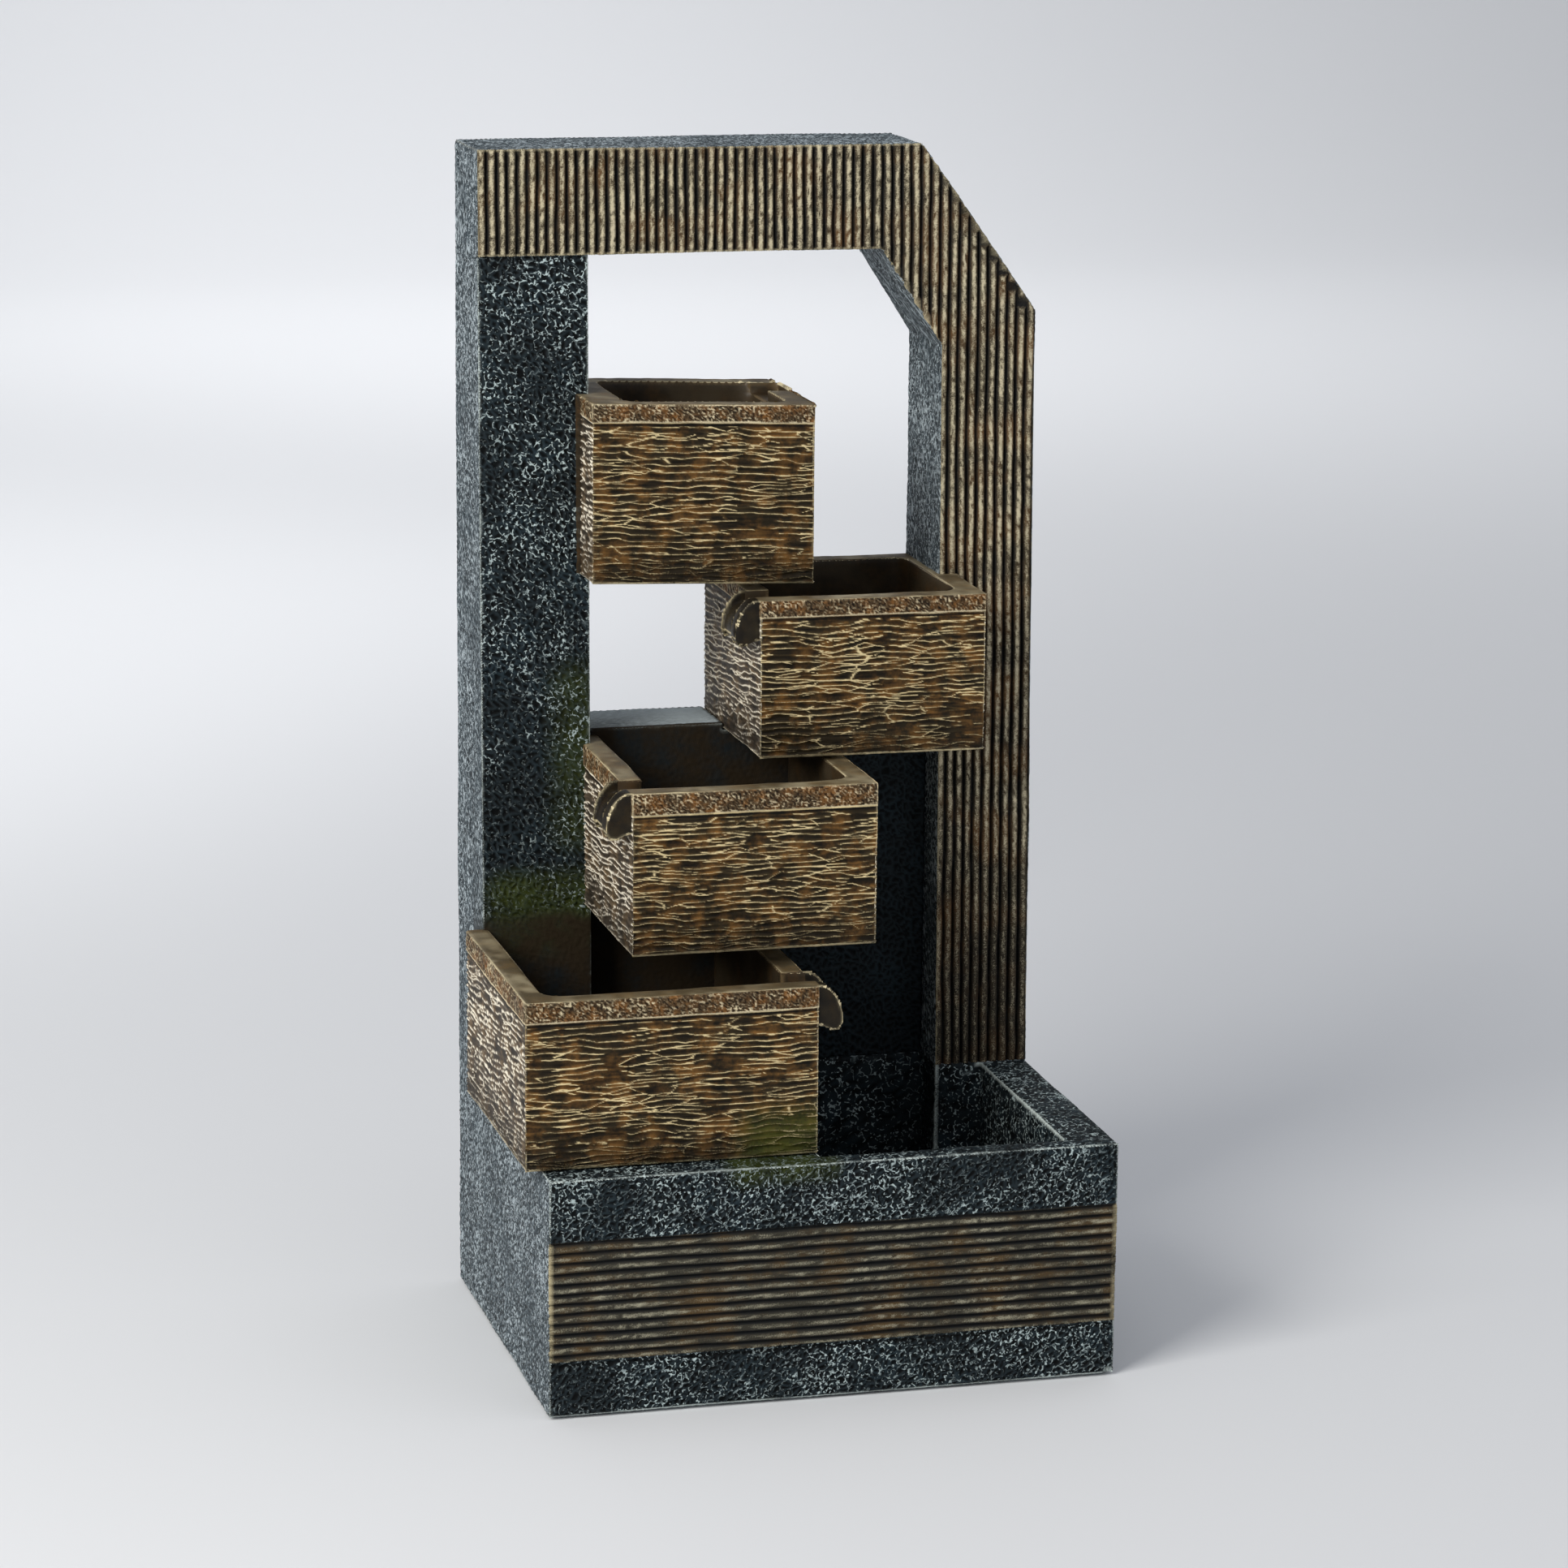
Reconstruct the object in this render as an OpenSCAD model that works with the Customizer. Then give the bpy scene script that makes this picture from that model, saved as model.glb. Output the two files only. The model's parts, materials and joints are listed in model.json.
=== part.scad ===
// Cascading tabletop fountain: four spill bowls stand in a ribbed arch over a
// basin, and a small submersible pump behind a rear door lifts the water.
// Working coordinates start at the left front bottom corner of the base, with
// x to the right and y to the rear. framed() then centres the whole model.

/* [Base] */
// Width of the base across the front
base_w = 200; // [170:1:240]
// Depth of the base from front to back
base_d = 155; // [142:1:186]
// Height of the rim of the base above the table
base_h = 84; // [80:1:110]
// Thickness of the left, front and floor walls of the base
base_wall = 9; // [7:0.5:11]
// Thickness of the rear wall of the base, which holds the door frame
rear_wall = 7; // [6:0.5:8.5]
// Width of the broad right rim of the basin
right_rim = 18; // [12:1:22]
// Thickness of the deck that carries the bottom bowl
deck_t = 8; // [6:0.5:10]
// Height of the lower rough band under the ribbed band
band_z = 18.7; // [14:0.1:24]
// Number of level flutes in the ribbed band
band_flutes = 12; // [8:1:13]
// Depth to which the ribbed band is set into the front wall
band_t = 4; // [3:0.5:5]

/* [Arch] */
// Thickness of the arch at its foot
arch_foot_t = 49; // [42:1:58]
// Thickness of the arch at its top
arch_top_t = 40; // [35:1:42]
// Height of the beam
beam_h = 37; // [30:1:45]
// Clear height from the rim of the top bowl to the beam
arch_clear = 47; // [30:1:60]
// Width of the pillar
pillar_w = 35; // [30:1:42]
// Width of the outer corner cut
corner_w = 42; // [30:1:50]
// Height of the outer corner cut
corner_h = 59; // [45:1:70]
// Width of the corner cut inside the opening
soffit_w = 22; // [15:1:26]
// Height of the corner cut inside the opening
soffit_h = 34; // [25:1:38]
// Distance from one upright flute to the next
flute_pitch = 3.5; // [3:0.1:4.5]
// Radius of a flute groove
flute_r = 0.9; // [0.6:0.1:1.1]

/* [Column and back panel] */
// Width of the hollow left column
column_w = 39.4; // [36:0.1:47.5]
// Wall of the hollow castings
cast_wall = 7; // [5.5:0.5:8]
// Step from the ribbed beam back to the face of the column
face_step = 1.5; // [1:0.1:2.5]
// Thickness of the back panel
panel_t = 31.7; // [27:0.1:36]
// Height of the ledge of the panel above the rim of the lower bowl
ledge_rise = 3.5; // [2:0.5:6]

/* [Bowls] */
// Wall of a bowl
bowl_wall = 9; // [7:0.5:10.5]
// Thickness of the floor of a bowl
bowl_floor = 8; // [6:0.5:10]
// Radius of the upright corners of a bowl
bowl_r = 2.5; // [1:0.5:3.5]
// Height of the bottom bowl
bottom_h = 59; // [50:1:70]
// Width of the bottom bowl
bottom_w = 102; // [90:1:110]
// Overhang of the bottom bowl past the left face
bottom_overhang = 6; // [3:1:8]
// Distance from the front of the base back to the bottom bowl
bottom_setback = 10; // [8:1:14]
// Height of the lower bowl
lower_h = 57; // [48:1:68]
// Reach of the lower bowl in front of the arch foot
lower_reach = 71; // [60:1:76]
// Overlap of the lower bowl in front of the column
lower_lap = 3.2; // [2:0.2:6]
// Height of the upper bowl
upper_h = 56; // [47:1:67]
// Width of the upper bowl
upper_w = 81.6; // [72:0.1:86]
// Reach of the upper bowl in front of the arch foot
upper_reach = 34; // [28:1:40]
// Overlap of the upper bowl in front of the pillar
upper_lap = 6.3; // [4:0.1:8]
// Height of the top bowl
top_h = 63; // [56:1:72]
// Reach of the top bowl in front of the arch foot
top_reach = 16.3; // [13:0.1:22]
// Overlap of the top bowl in front of the column
top_lap = 5; // [3:0.5:6]
// Overlap of the top bowl above the upper bowl
top_over = 24.3; // [20:0.1:32]
// Overlap of the lower bowl under the upper bowl
lower_under = 33; // [26:1:36]
// Gap under the lower, upper and top bowls, from the bottom up
stack_gaps = [6.4, 1, 4];

/* [Spill lips] */
// Width of the channel of a spill lip
lip_w = 17; // [12:1:20]
// Thickness of the two cheeks beside the channel
lip_cheek = 2; // [1.5:0.1:3]
// Depth of the channel below the rim
lip_sink = 4; // [3:0.5:6]
// Reach of a lip outside the bowl
lip_reach = 8; // [6:0.5:10]
// Drop of a lip below the rim
lip_drop = 17; // [14:0.5:20]

/* [Rear door] */
// Width of the pump door
door_w = 56; // [48:1:66]
// Height of the pump door
door_h = 30; // [24:1:31]
// Thickness of the pump door
door_t = 2.6; // [2:0.1:2.8]
// Radius of the hinge pin
pin_r = 1.2; // [1:0.1:1.3]

/* [Pump and hose] */
// Width of the pump
pump_w = 30; // [28:1:34]
// Outer radius of the hose
hose_r = 5.5; // [5:0.1:6.4]
// Bore radius of the hose
hose_bore_r = 4; // [3.4:0.1:4.2]
// Radius of the threaded spigot in the top bowl
spigot_r = 5; // [4.5:0.1:6]
// Radius of the rotor magnet
magnet_r = 5.6; // [5:0.1:5.8]
// Radius of the ceramic shaft
shaft_r = 1; // [0.8:0.1:1.2]

/* [Hidden] */
$fn = 48;

over = 1;            // how far a cut runs past the face it opens
run_gap = 0.05;      // radial clearance of a turning fit
seat_gap = 0.3;      // clearance round a piece set into a pocket
foot_gap = 0.6;      // height of the base above the table on its pads

// Heights, from the table up
floor_z = foot_gap + base_wall;
deck_z = base_h - deck_t;
bottom_z = base_h;
lower_z = bottom_z + bottom_h + stack_gaps[0];
upper_z = lower_z + lower_h + stack_gaps[1];
top_z = upper_z + upper_h + stack_gaps[2];
ledge_z = lower_z + lower_h + ledge_rise;
beam_z = top_z + top_h + arch_clear;
total_h = beam_z + beam_h;

// Places across the front
pillar_x = base_w - pillar_w;
upper_x1 = pillar_x + upper_lap;
upper_x0 = upper_x1 - upper_w;
top_x0 = column_w - top_lap;
top_x1 = upper_x0 + top_over;
lower_x0 = column_w - lower_lap;
lower_x1 = upper_x0 + lower_under;
bottom_x0 = -bottom_overhang;
bottom_x1 = bottom_x0 + bottom_w;
basin_x1 = base_w - right_rim;

// Places from front to back
foot_y = base_d - arch_foot_t;
panel_y = base_d - panel_t;
rear_y = base_d - rear_wall;
lower_y = foot_y - lower_reach;
upper_y = foot_y - upper_reach;
top_y = foot_y - top_reach;

lean = atan((arch_foot_t - arch_top_t) / (total_h - base_h));
function front_y(z) = foot_y + (z - base_h) * tan(lean);

// Ribbed band on the front of the base
band_pitch = 3.55;
band_top = band_z + band_flutes * band_pitch;
band_margin = 1.3; // plain strip past the first and the last groove of the band

// Riser: the hose stands in the middle of the column
riser_x = column_w / 2;
riser_y = base_d - 25;
inlet_z = top_z + 38;

// Rear door and its frame
hinge_side_gap = 0.7;
door_gap = 0.4;
knuckle_r = 1.7;
rail = 5;            // frame material round the door
flange_t = 2.5;
flange_side = 7;
flange_end = 3;
door_x0 = column_w + 12;
door_x1 = door_x0 + door_w;
door_z1 = deck_z - rail - 1;
door_z0 = door_z1 - door_h;
door_y1 = base_d - 0.2;
door_y0 = door_y1 - door_t;
hinge_x = door_x0 + knuckle_r;
hinge_y = door_y1 - knuckle_r;
frame_x0 = door_x0 - hinge_side_gap - rail;
frame_x1 = door_x1 + door_gap + rail;
frame_z0 = door_z0 - door_gap - rail;
frame_z1 = door_z1 + door_gap + rail;
stop_w = 2.5;
pin_seat = rail - 1; // how far the pin reaches into the frame at each end
recess_r = 6.4;      // finger recess at the free edge of the door
recess_inset = 5;
screw_r = 1.2;
screw_head_r = 2.3;
screw_head_t = 1.2;
screw_len = 4;
screw_slot = [3, 1.2, 0.6];
screw_x = [frame_x0 - flange_side / 2, frame_x1 + flange_side / 2];
screw_z = [frame_z0 + rail, frame_z1 - rail];
grommet_x = frame_x1 + flange_side + 22;
grommet_z = (floor_z + deck_z) / 2 + 12;
grommet_r = 4.2;
grommet_lip_r = 6.3;
grommet_lip_t = 2;
cord_r = 2.6;

// Foot pads
pad_r = 9;
pad_t = 2.6;
pad_inset = 18;
pad_spots = [[pad_inset, pad_inset], [base_w - pad_inset, pad_inset],
    [pad_inset, base_d - pad_inset], [base_w - pad_inset, base_d - pad_inset]];

// Pump: the motor lies in front, the volute and the strainer face the rear
cup_h = 4;
pump_h = 36;
volute_h = 30;
motor_l = 26;
volute_l = 11;
strainer_l = 9.5;
shell = 1.8;
chamber_r = 10;
nozzle_offset = 6.3; // the outlet stands this far left of the rotor axis
pump_x = riser_x + nozzle_offset;
pump_z = floor_z + cup_h;
volute_y = riser_y - volute_l / 2;
motor_y = volute_y - motor_l;
strainer_y = volute_y + volute_l;
strainer_y1 = strainer_y + strainer_l;
axis_z = pump_z + 12;
tube_r = 7.6;
tube_bore_r = magnet_r + 0.8;
tube_y = motor_y + 3;
hub_r = 4;
hub_y = volute_y - 1;
blade_r = 8.6;
bush_r = 2.2;
shaft_y0 = tube_y + shell;
shaft_y1 = strainer_y + 0.5;
bush_l = 2.5;
hub_l = 7.5;
web_t = 1.2;
blade_t = 1;
blade_l = 5.5;
eye_r = 6.5;
spider_t = 1.4;
chamber_back = 2.5;  // wall between the chamber and the eye
slot_w = 1.2;
slot_pitch = 2.4;
slot_end = 4;        // solid margin above and below the strainer slots
cup_x = 10;
cup_inset = 5;
gland_l = 7;
gland_r = 4;
barb_l = 14;
clamp_t = 0.8;
clamp_w = 4;
clamp_lug = 3;
gasket_t = 2;
collar_t = 2.5;      // collar that presses the gasket on the column wall
nut_t = 5;
nut_grip = 4;        // how far the nut and the gasket reach past the spigot
spigot_proud = 8;
hose_z0 = pump_z + pump_h + 2;
nozzle_top = hose_z0 + barb_l;
hose_z1 = inlet_z - 8;
dial_r = 6;
dial_t = 1.6;
dial_stub_r = 2;

// Stator: the yoke crosses over the rotor tube and the coil sits on it
stack_l = 14;
stack_y0 = motor_y + (motor_l - stack_l - 1) / 2 + 1;
stack_y1 = stack_y0 + stack_l;
coil_room = 5.9;     // height between the rotor tube and the yoke
leg_drop = 7;        // how far the legs reach below the rotor axis
yoke_z0 = axis_z + tube_r + coil_room;
yoke_t = 5;
leg_x0 = tube_r + 0.4;
leg_x1 = leg_x0 + 4.5;
coil_x = 7.5;
bobbin_t = 1;
coil_t = 2.5;

// Moves the working coordinates so that the origin is under the middle
module framed() {
    translate([-(base_w - bottom_overhang) / 2, -base_d / 2, 0]) children();
}

// Box from its lowest corner to its highest corner
module block(x0, x1, y0, y1, z0, z1) {
    translate([x0, y0, z0]) cube([x1 - x0, y1 - y0, z1 - z0]);
}

// Upright prism on a rectangle with rounded corners
module rounded_block(x0, x1, y0, y1, z0, z1, r) {
    translate([0, 0, z0]) linear_extrude(z1 - z0) {
        translate([x0 + r, y0]) square([x1 - x0 - 2 * r, y1 - y0]);
        translate([x0, y0 + r]) square([x1 - x0, y1 - y0 - 2 * r]);
        for (x = [x0 + r, x1 - r], y = [y0 + r, y1 - r]) translate([x, y]) circle(r);
    }
}

// Outline in x and z, drawn out along y
module front_prism(points, y0, y1) {
    translate([0, y1, 0]) rotate([90, 0, 0]) linear_extrude(y1 - y0) polygon(points);
}

// Slab of the arch between two places across and two heights, leaning back
module leaning_slab(x0, x1, z0, z1, front = 0, back = 0) {
    translate([x0, 0, 0]) rotate([90, 0, 90]) linear_extrude(x1 - x0)
        polygon([[front_y(z0) + front, z0], [base_d - back, z0],
            [base_d - back, z1], [front_y(z1) + front, z1]]);
}

// Cylinder along x or y, from its start point
module rod_x(r, l) rotate([0, 90, 0]) cylinder(r = r, h = l);
module rod_y(r, l) rotate([-90, 0, 0]) cylinder(r = r, h = l);

// ---- Base ----

// Plan of the reservoir: the basin, and the pump chamber behind and beside it
module reservoir_plan() {
    polygon([[base_wall, base_wall], [basin_x1, base_wall], [basin_x1, foot_y],
        [pillar_x, foot_y], [pillar_x, panel_y], [bottom_x1 + base_wall, panel_y],
        [bottom_x1 + base_wall, panel_y + cast_wall],
        [basin_x1 - base_wall, panel_y + cast_wall],
        [basin_x1 - base_wall, rear_y + over], [base_wall, rear_y + over]]);
}

// Plan of the open mouth of the basin
module basin_mouth_plan() {
    polygon([[bottom_x1 + seat_gap, base_wall], [basin_x1, base_wall],
        [basin_x1, foot_y], [pillar_x, foot_y], [pillar_x, panel_y],
        [bottom_x1 + seat_gap, panel_y]]);
}

// Plan of the opening under the column and the panel, for hose and hand
module rear_mouth_plan() {
    column_x1 = column_w - cast_wall;
    mouth_y = foot_y + face_step + cast_wall;
    polygon([[base_wall, mouth_y], [column_x1, mouth_y],
        [column_x1, panel_y + cast_wall], [bottom_x1 - over, panel_y + cast_wall],
        [bottom_x1 - over, rear_y + over], [base_wall, rear_y + over]]);
}

module door_frame_pocket() {
    block(frame_x0 - seat_gap, frame_x1 + seat_gap, rear_y - over, base_d + over,
        frame_z0 - seat_gap, frame_z1 + seat_gap);
    block(frame_x0 - flange_side - seat_gap, frame_x1 + flange_side + seat_gap,
        base_d - flange_t, base_d + over,
        frame_z0 - flange_end - seat_gap, frame_z1 + flange_end + seat_gap);
}

// Place of the ribbed band in the front wall
module band_block(past = 0)
    block(-past, base_w + past, -past, band_t, band_z - band_margin,
        band_top + band_margin);

module base_basin() framed() color("#2f3c44") difference() {
    block(0, base_w, 0, rear_y, foot_gap, base_h);
    translate([0, 0, floor_z]) linear_extrude(deck_z - floor_z) reservoir_plan();
    translate([0, 0, deck_z - over]) linear_extrude(deck_t + 2 * over) {
        basin_mouth_plan();
        rear_mouth_plan();
    }
    band_block(over);
    for (spot = pad_spots) translate([spot[0], spot[1], 0])
        cylinder(r = pad_r, h = pad_t);
}

module base_back() framed() color("#2f3c44") difference() {
    block(0, base_w, rear_y, base_d, foot_gap, base_h);
    door_frame_pocket();
    for (x = screw_x, z = screw_z)
        translate([x, base_d - flange_t - screw_len, z]) rod_y(screw_r, screw_len);
    translate([grommet_x, rear_y - over, grommet_z]) rod_y(grommet_r, rear_wall + over);
    translate([grommet_x, base_d - grommet_lip_t, grommet_z])
        rod_y(grommet_lip_r + seat_gap, grommet_lip_t + over);
}

module ribbed_band() framed() color("#8a7448") difference() {
    band_block();
    for (i = [0 : band_flutes]) translate([-over, 0, band_z + i * band_pitch])
        rod_x(flute_r, base_w + 2 * over);
}

module foot_pads() framed() color("#1b1b1b")
    for (spot = pad_spots) translate([spot[0], spot[1], 0]) cylinder(r = pad_r, h = pad_t);

// ---- Arch, column and panel ----

arch_outline = [[0, beam_z], [0, total_h], [base_w - corner_w, total_h],
    [base_w, total_h - corner_h], [base_w, base_h], [pillar_x, base_h],
    [pillar_x, beam_z - soffit_h], [pillar_x - soffit_w, beam_z]];

module ribbed_arch() framed() color("#8a7448") difference() {
    intersection() {
        front_prism(arch_outline, 0, base_d);
        leaning_slab(0, base_w, base_h, total_h);
    }
    for (x = [flute_pitch : flute_pitch : base_w - flute_pitch / 2])
        translate([x, foot_y, base_h]) rotate([-lean, 0, 0])
            translate([0, 0, -over]) cylinder(r = flute_r, h = total_h, $fn = 24);
}

module left_column() framed() color("#35444c") difference() {
    leaning_slab(0, column_w, base_h, beam_z, face_step);
    leaning_slab(cast_wall, column_w - cast_wall, base_h - over,
        beam_z - cast_wall, face_step + cast_wall, cast_wall);
    translate([column_w - cast_wall - over, riser_y, inlet_z])
        rod_x(spigot_r + seat_gap, cast_wall + 2 * over);
}

module back_panel() framed() color("#3a474f") difference() {
    union() {
        block(column_w, pillar_x, panel_y, base_d, base_h, upper_z);
        block(column_w, upper_x0, panel_y, base_d, base_h, ledge_z);
    }
    block(column_w + cast_wall, pillar_x - cast_wall, panel_y + cast_wall,
        base_d - cast_wall, base_h - over, upper_z - cast_wall);
}

// ---- Bowls ----

function arc(cx, cz, r, a0, a1, n = 10) =
    [for (i = [0 : n]) let (a = a0 + (a1 - a0) * i / n) [cx + r * cos(a), cz + r * sin(a)]];

// Side outline of a curled lip outside a wall, below the rim at height zero
function lip_outline(sink, reach) = concat(
    [[-over, -sink]], arc(0, -sink - reach, reach, 90, 0),
    [[reach, -lip_drop + 2], [reach - 2, -lip_drop], [reach / 2, -lip_drop + 1],
        [-over, -lip_drop + 5]]);

// Curled lip on an outer face at x, pointing right (1) or left (-1)
module spill_lip(x, y, rim_z, side) {
    translate([x, y, rim_z]) mirror([side < 0 ? 1 : 0, 0, 0]) {
        front_prism(lip_outline(lip_sink, lip_reach), 0, lip_w + 2 * lip_cheek);
        for (cheek = [0, lip_w + lip_cheek])
            front_prism(lip_outline(0, lip_reach + 1), cheek, cheek + lip_cheek);
    }
}

// Cut of the channel through the wall, from inside the bowl
module lip_channel(x, y, rim_z, side) {
    depth = bowl_wall + over;
    block(side > 0 ? x - depth : x, side > 0 ? x : x + depth,
        y + lip_cheek, y + lip_cheek + lip_w, rim_z - lip_sink, rim_z + over);
}

// Space of the column and everything left of it, which the bowls stop at
module column_space()
    leaning_slab(-2 * bottom_overhang, column_w, base_h - over, beam_z, face_step, -over);

// Space of the pillar and everything right of it
module pillar_space()
    leaning_slab(pillar_x, base_w + over, base_h - over, total_h, 0, -over);

module bottom_bowl() framed() color("#6b5230") {
    lip_y = bottom_setback + 1.5;
    rim = bottom_z + bottom_h;
    difference() {
        union() {
            difference() {
                rounded_block(bottom_x0, bottom_x1, bottom_setback, panel_y + bowl_r,
                    bottom_z, rim, bowl_r);
                block(bottom_x0 - over, bottom_x1 + over, panel_y, base_d,
                    bottom_z - over, rim + over);
                block(bottom_x0 + bowl_wall, bottom_x1 - bowl_wall,
                    bottom_setback + bowl_wall, base_d, bottom_z + bowl_floor, rim + over);
            }
            spill_lip(bottom_x1, lip_y, rim, 1);
        }
        lip_channel(bottom_x1, lip_y, rim, 1);
        column_space();
    }
}

module lower_bowl() framed() color("#6b5230") {
    lip_y = lower_y + 1.5;
    rim = lower_z + lower_h;
    difference() {
        union() {
            difference() {
                rounded_block(lower_x0, lower_x1, lower_y, panel_y + bowl_r,
                    lower_z, rim, bowl_r);
                block(lower_x0 - over, lower_x1 + over, panel_y, base_d,
                    lower_z - over, rim + over);
                block(lower_x0 + bowl_wall, lower_x1 - bowl_wall,
                    lower_y + bowl_wall, base_d, lower_z + bowl_floor, rim + over);
            }
            spill_lip(lower_x0, lip_y, rim, -1);
        }
        lip_channel(lower_x0, lip_y, rim, -1);
        column_space();
    }
}

module upper_bowl() framed() color("#6b5230") {
    lip_y = upper_y + 1.5;
    rim = upper_z + upper_h;
    difference() {
        union() {
            difference() {
                rounded_block(upper_x0, upper_x1, upper_y, base_d, upper_z, rim, bowl_r);
                block(upper_x0 + bowl_wall, upper_x1 - bowl_wall, upper_y + bowl_wall,
                    base_d - bowl_wall, upper_z + bowl_floor, rim + over);
            }
            spill_lip(upper_x0, lip_y, rim, -1);
        }
        lip_channel(upper_x0, lip_y, rim, -1);
        pillar_space();
        block(column_w, upper_x0, panel_y, base_d, base_h, ledge_z);
    }
}

module top_bowl() framed() color("#6b5230") {
    lip_y = base_d - bowl_wall - lip_w - 2 * lip_cheek;
    rim = top_z + top_h;
    difference() {
        union() {
            difference() {
                rounded_block(top_x0, top_x1, top_y, base_d, top_z, rim, bowl_r);
                block(column_w + bowl_wall, top_x1 - bowl_wall, top_y + bowl_wall,
                    base_d - bowl_wall, top_z + bowl_floor, rim + over);
            }
            spill_lip(top_x1, lip_y, rim, 1);
        }
        lip_channel(top_x1, lip_y, rim, 1);
        column_space();
        translate([column_w - over, riser_y, inlet_z])
            rod_x(spigot_r + seat_gap, bowl_wall + 2 * over);
    }
}

// ---- Rear door and cable outlet ----

module door_frame() framed() color("#24272a") difference() {
    union() {
        block(frame_x0, frame_x1, rear_y, base_d, frame_z0, frame_z1);
        block(frame_x0 - flange_side, frame_x1 + flange_side, base_d - flange_t, base_d,
            frame_z0 - flange_end, frame_z1 + flange_end);
    }
    // Opening that the door lies in, and the smaller opening behind its stop
    block(door_x0 - hinge_side_gap, door_x1 + door_gap, hinge_y - knuckle_r - door_gap,
        base_d + over, door_z0 - door_gap, door_z1 + door_gap);
    block(door_x0 + stop_w + knuckle_r, door_x1 - stop_w, rear_y - over, base_d,
        door_z0 + stop_w, door_z1 - stop_w);
    translate([hinge_x, hinge_y, door_z0 - pin_seat])
        cylinder(r = pin_r, h = door_h + 2 * pin_seat);
    for (x = screw_x, z = screw_z) {
        translate([x, base_d - flange_t - over, z]) rod_y(screw_r, flange_t + 2 * over);
        translate([x, base_d - screw_head_t, z]) rod_y(screw_head_r, screw_head_t + over);
    }
}

module door_frame_screws() framed() color("silver")
    for (x = screw_x, z = screw_z) difference() {
        union() {
            translate([x, base_d - flange_t - screw_len, z])
                rod_y(screw_r, flange_t + screw_len - screw_head_t);
            translate([x, base_d - screw_head_t, z]) rod_y(screw_head_r, screw_head_t);
        }
        for (turn = [0, 90]) translate([x, base_d, z]) rotate([0, turn, 0])
            cube(screw_slot, center = true);
    }

module door_hinge_pin() framed() color("silver")
    translate([hinge_x, hinge_y, door_z0 - pin_seat])
        cylinder(r = pin_r, h = door_h + 2 * pin_seat);

module pump_door() framed() color("#2b2f33") difference() {
    union() {
        block(hinge_x, door_x1, door_y0, door_y1, door_z0, door_z1);
        translate([hinge_x, hinge_y, door_z0]) cylinder(r = knuckle_r, h = door_h);
    }
    translate([hinge_x, hinge_y, door_z0 - over])
        cylinder(r = pin_r + run_gap, h = door_h + 2 * over);
    // Finger recess at the free edge
    translate([door_x1 - recess_inset, door_y1 + recess_inset, (door_z0 + door_z1) / 2])
        sphere(r = recess_r);
}

module cable_grommet() framed() color("#1b1b1b")
    translate([grommet_x, rear_y, grommet_z]) difference() {
        union() {
            rod_y(grommet_r, rear_wall);
            translate([0, rear_wall - grommet_lip_t, 0]) rod_y(grommet_lip_r, grommet_lip_t);
            translate([0, -grommet_lip_t, 0]) rod_y(grommet_lip_r, grommet_lip_t);
        }
        translate([0, -grommet_lip_t - over, 0])
            rod_y(cord_r, rear_wall + grommet_lip_t + 2 * over);
    }

// ---- Pump ----

// Moves children so that x and z start on the rotor axis
module on_axis(y) translate([pump_x, y, axis_z]) children();

module motor_space()
    block(pump_x - pump_w / 2 + shell, pump_x + pump_w / 2 - shell,
        motor_y, volute_y - shell, pump_z + shell, pump_z + pump_h - shell);

module rotor_tube() on_axis(tube_y) rod_y(tube_r, volute_y - tube_y);

module pump_body() framed() color("#1f2326") difference() {
    union() {
        difference() {
            block(pump_x - pump_w / 2, pump_x + pump_w / 2, motor_y, volute_y,
                pump_z, pump_z + pump_h);
            translate([0, -over, 0]) motor_space();
            motor_space();
        }
        rotor_tube();
    }
    on_axis(shaft_y0 + bush_l) rod_y(tube_bore_r, motor_l);
    on_axis(shaft_y0) rod_y(bush_r, bush_l + over);
}

module stator_core() framed() color("#8d9196") {
    for (side = [-1, 1]) {
        near = side > 0 ? leg_x0 : -leg_x1;
        translate([pump_x, 0, 0])
            block(near, near + leg_x1 - leg_x0, stack_y0, stack_y1, axis_z - leg_drop, yoke_z0);
    }
    translate([pump_x, 0, 0])
        block(-leg_x1, leg_x1, stack_y0, stack_y1, yoke_z0, yoke_z0 + yoke_t);
}

// Box round the yoke, grown outwards by t and reaching x to each side
module yoke_sleeve(x, t)
    translate([pump_x, 0, 0])
        block(-x, x, stack_y0 - t, stack_y1 + t, yoke_z0 - t, yoke_z0 + yoke_t + t);

module coil_bobbin() framed() color("#e6e2d6") difference() {
    union() {
        yoke_sleeve(coil_x, bobbin_t);
        for (side = [-1, 1]) translate([side * (coil_x - bobbin_t / 2), 0, 0])
            yoke_sleeve(bobbin_t / 2, coil_t);
    }
    yoke_sleeve(coil_x + over, 0);
}

module coil_winding() framed() color("#b5652b") difference() {
    yoke_sleeve(coil_x - bobbin_t, coil_t);
    yoke_sleeve(coil_x, bobbin_t);
}

module potting_resin() framed() color("#15171a") difference() {
    motor_space();
    rotor_tube();
    yoke_sleeve(coil_x, coil_t);
    yoke_sleeve(leg_x1, 0);
    for (x = [-leg_x1, leg_x0]) translate([pump_x, 0, 0])
        block(x, x + leg_x1 - leg_x0, stack_y0, stack_y1, axis_z - leg_drop, yoke_z0 + over);
}

module lead_gland() framed() color("#111111")
    translate([pump_x + 2 * gland_r, motor_y, axis_z - gland_r]) rotate([180, 0, 0])
        difference() {
        rotate([-90, 0, 0]) cylinder(r1 = gland_r, r2 = cord_r + 0.6, h = gland_l);
        translate([0, over, 0]) rod_y(cord_r, gland_l);
    }

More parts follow.
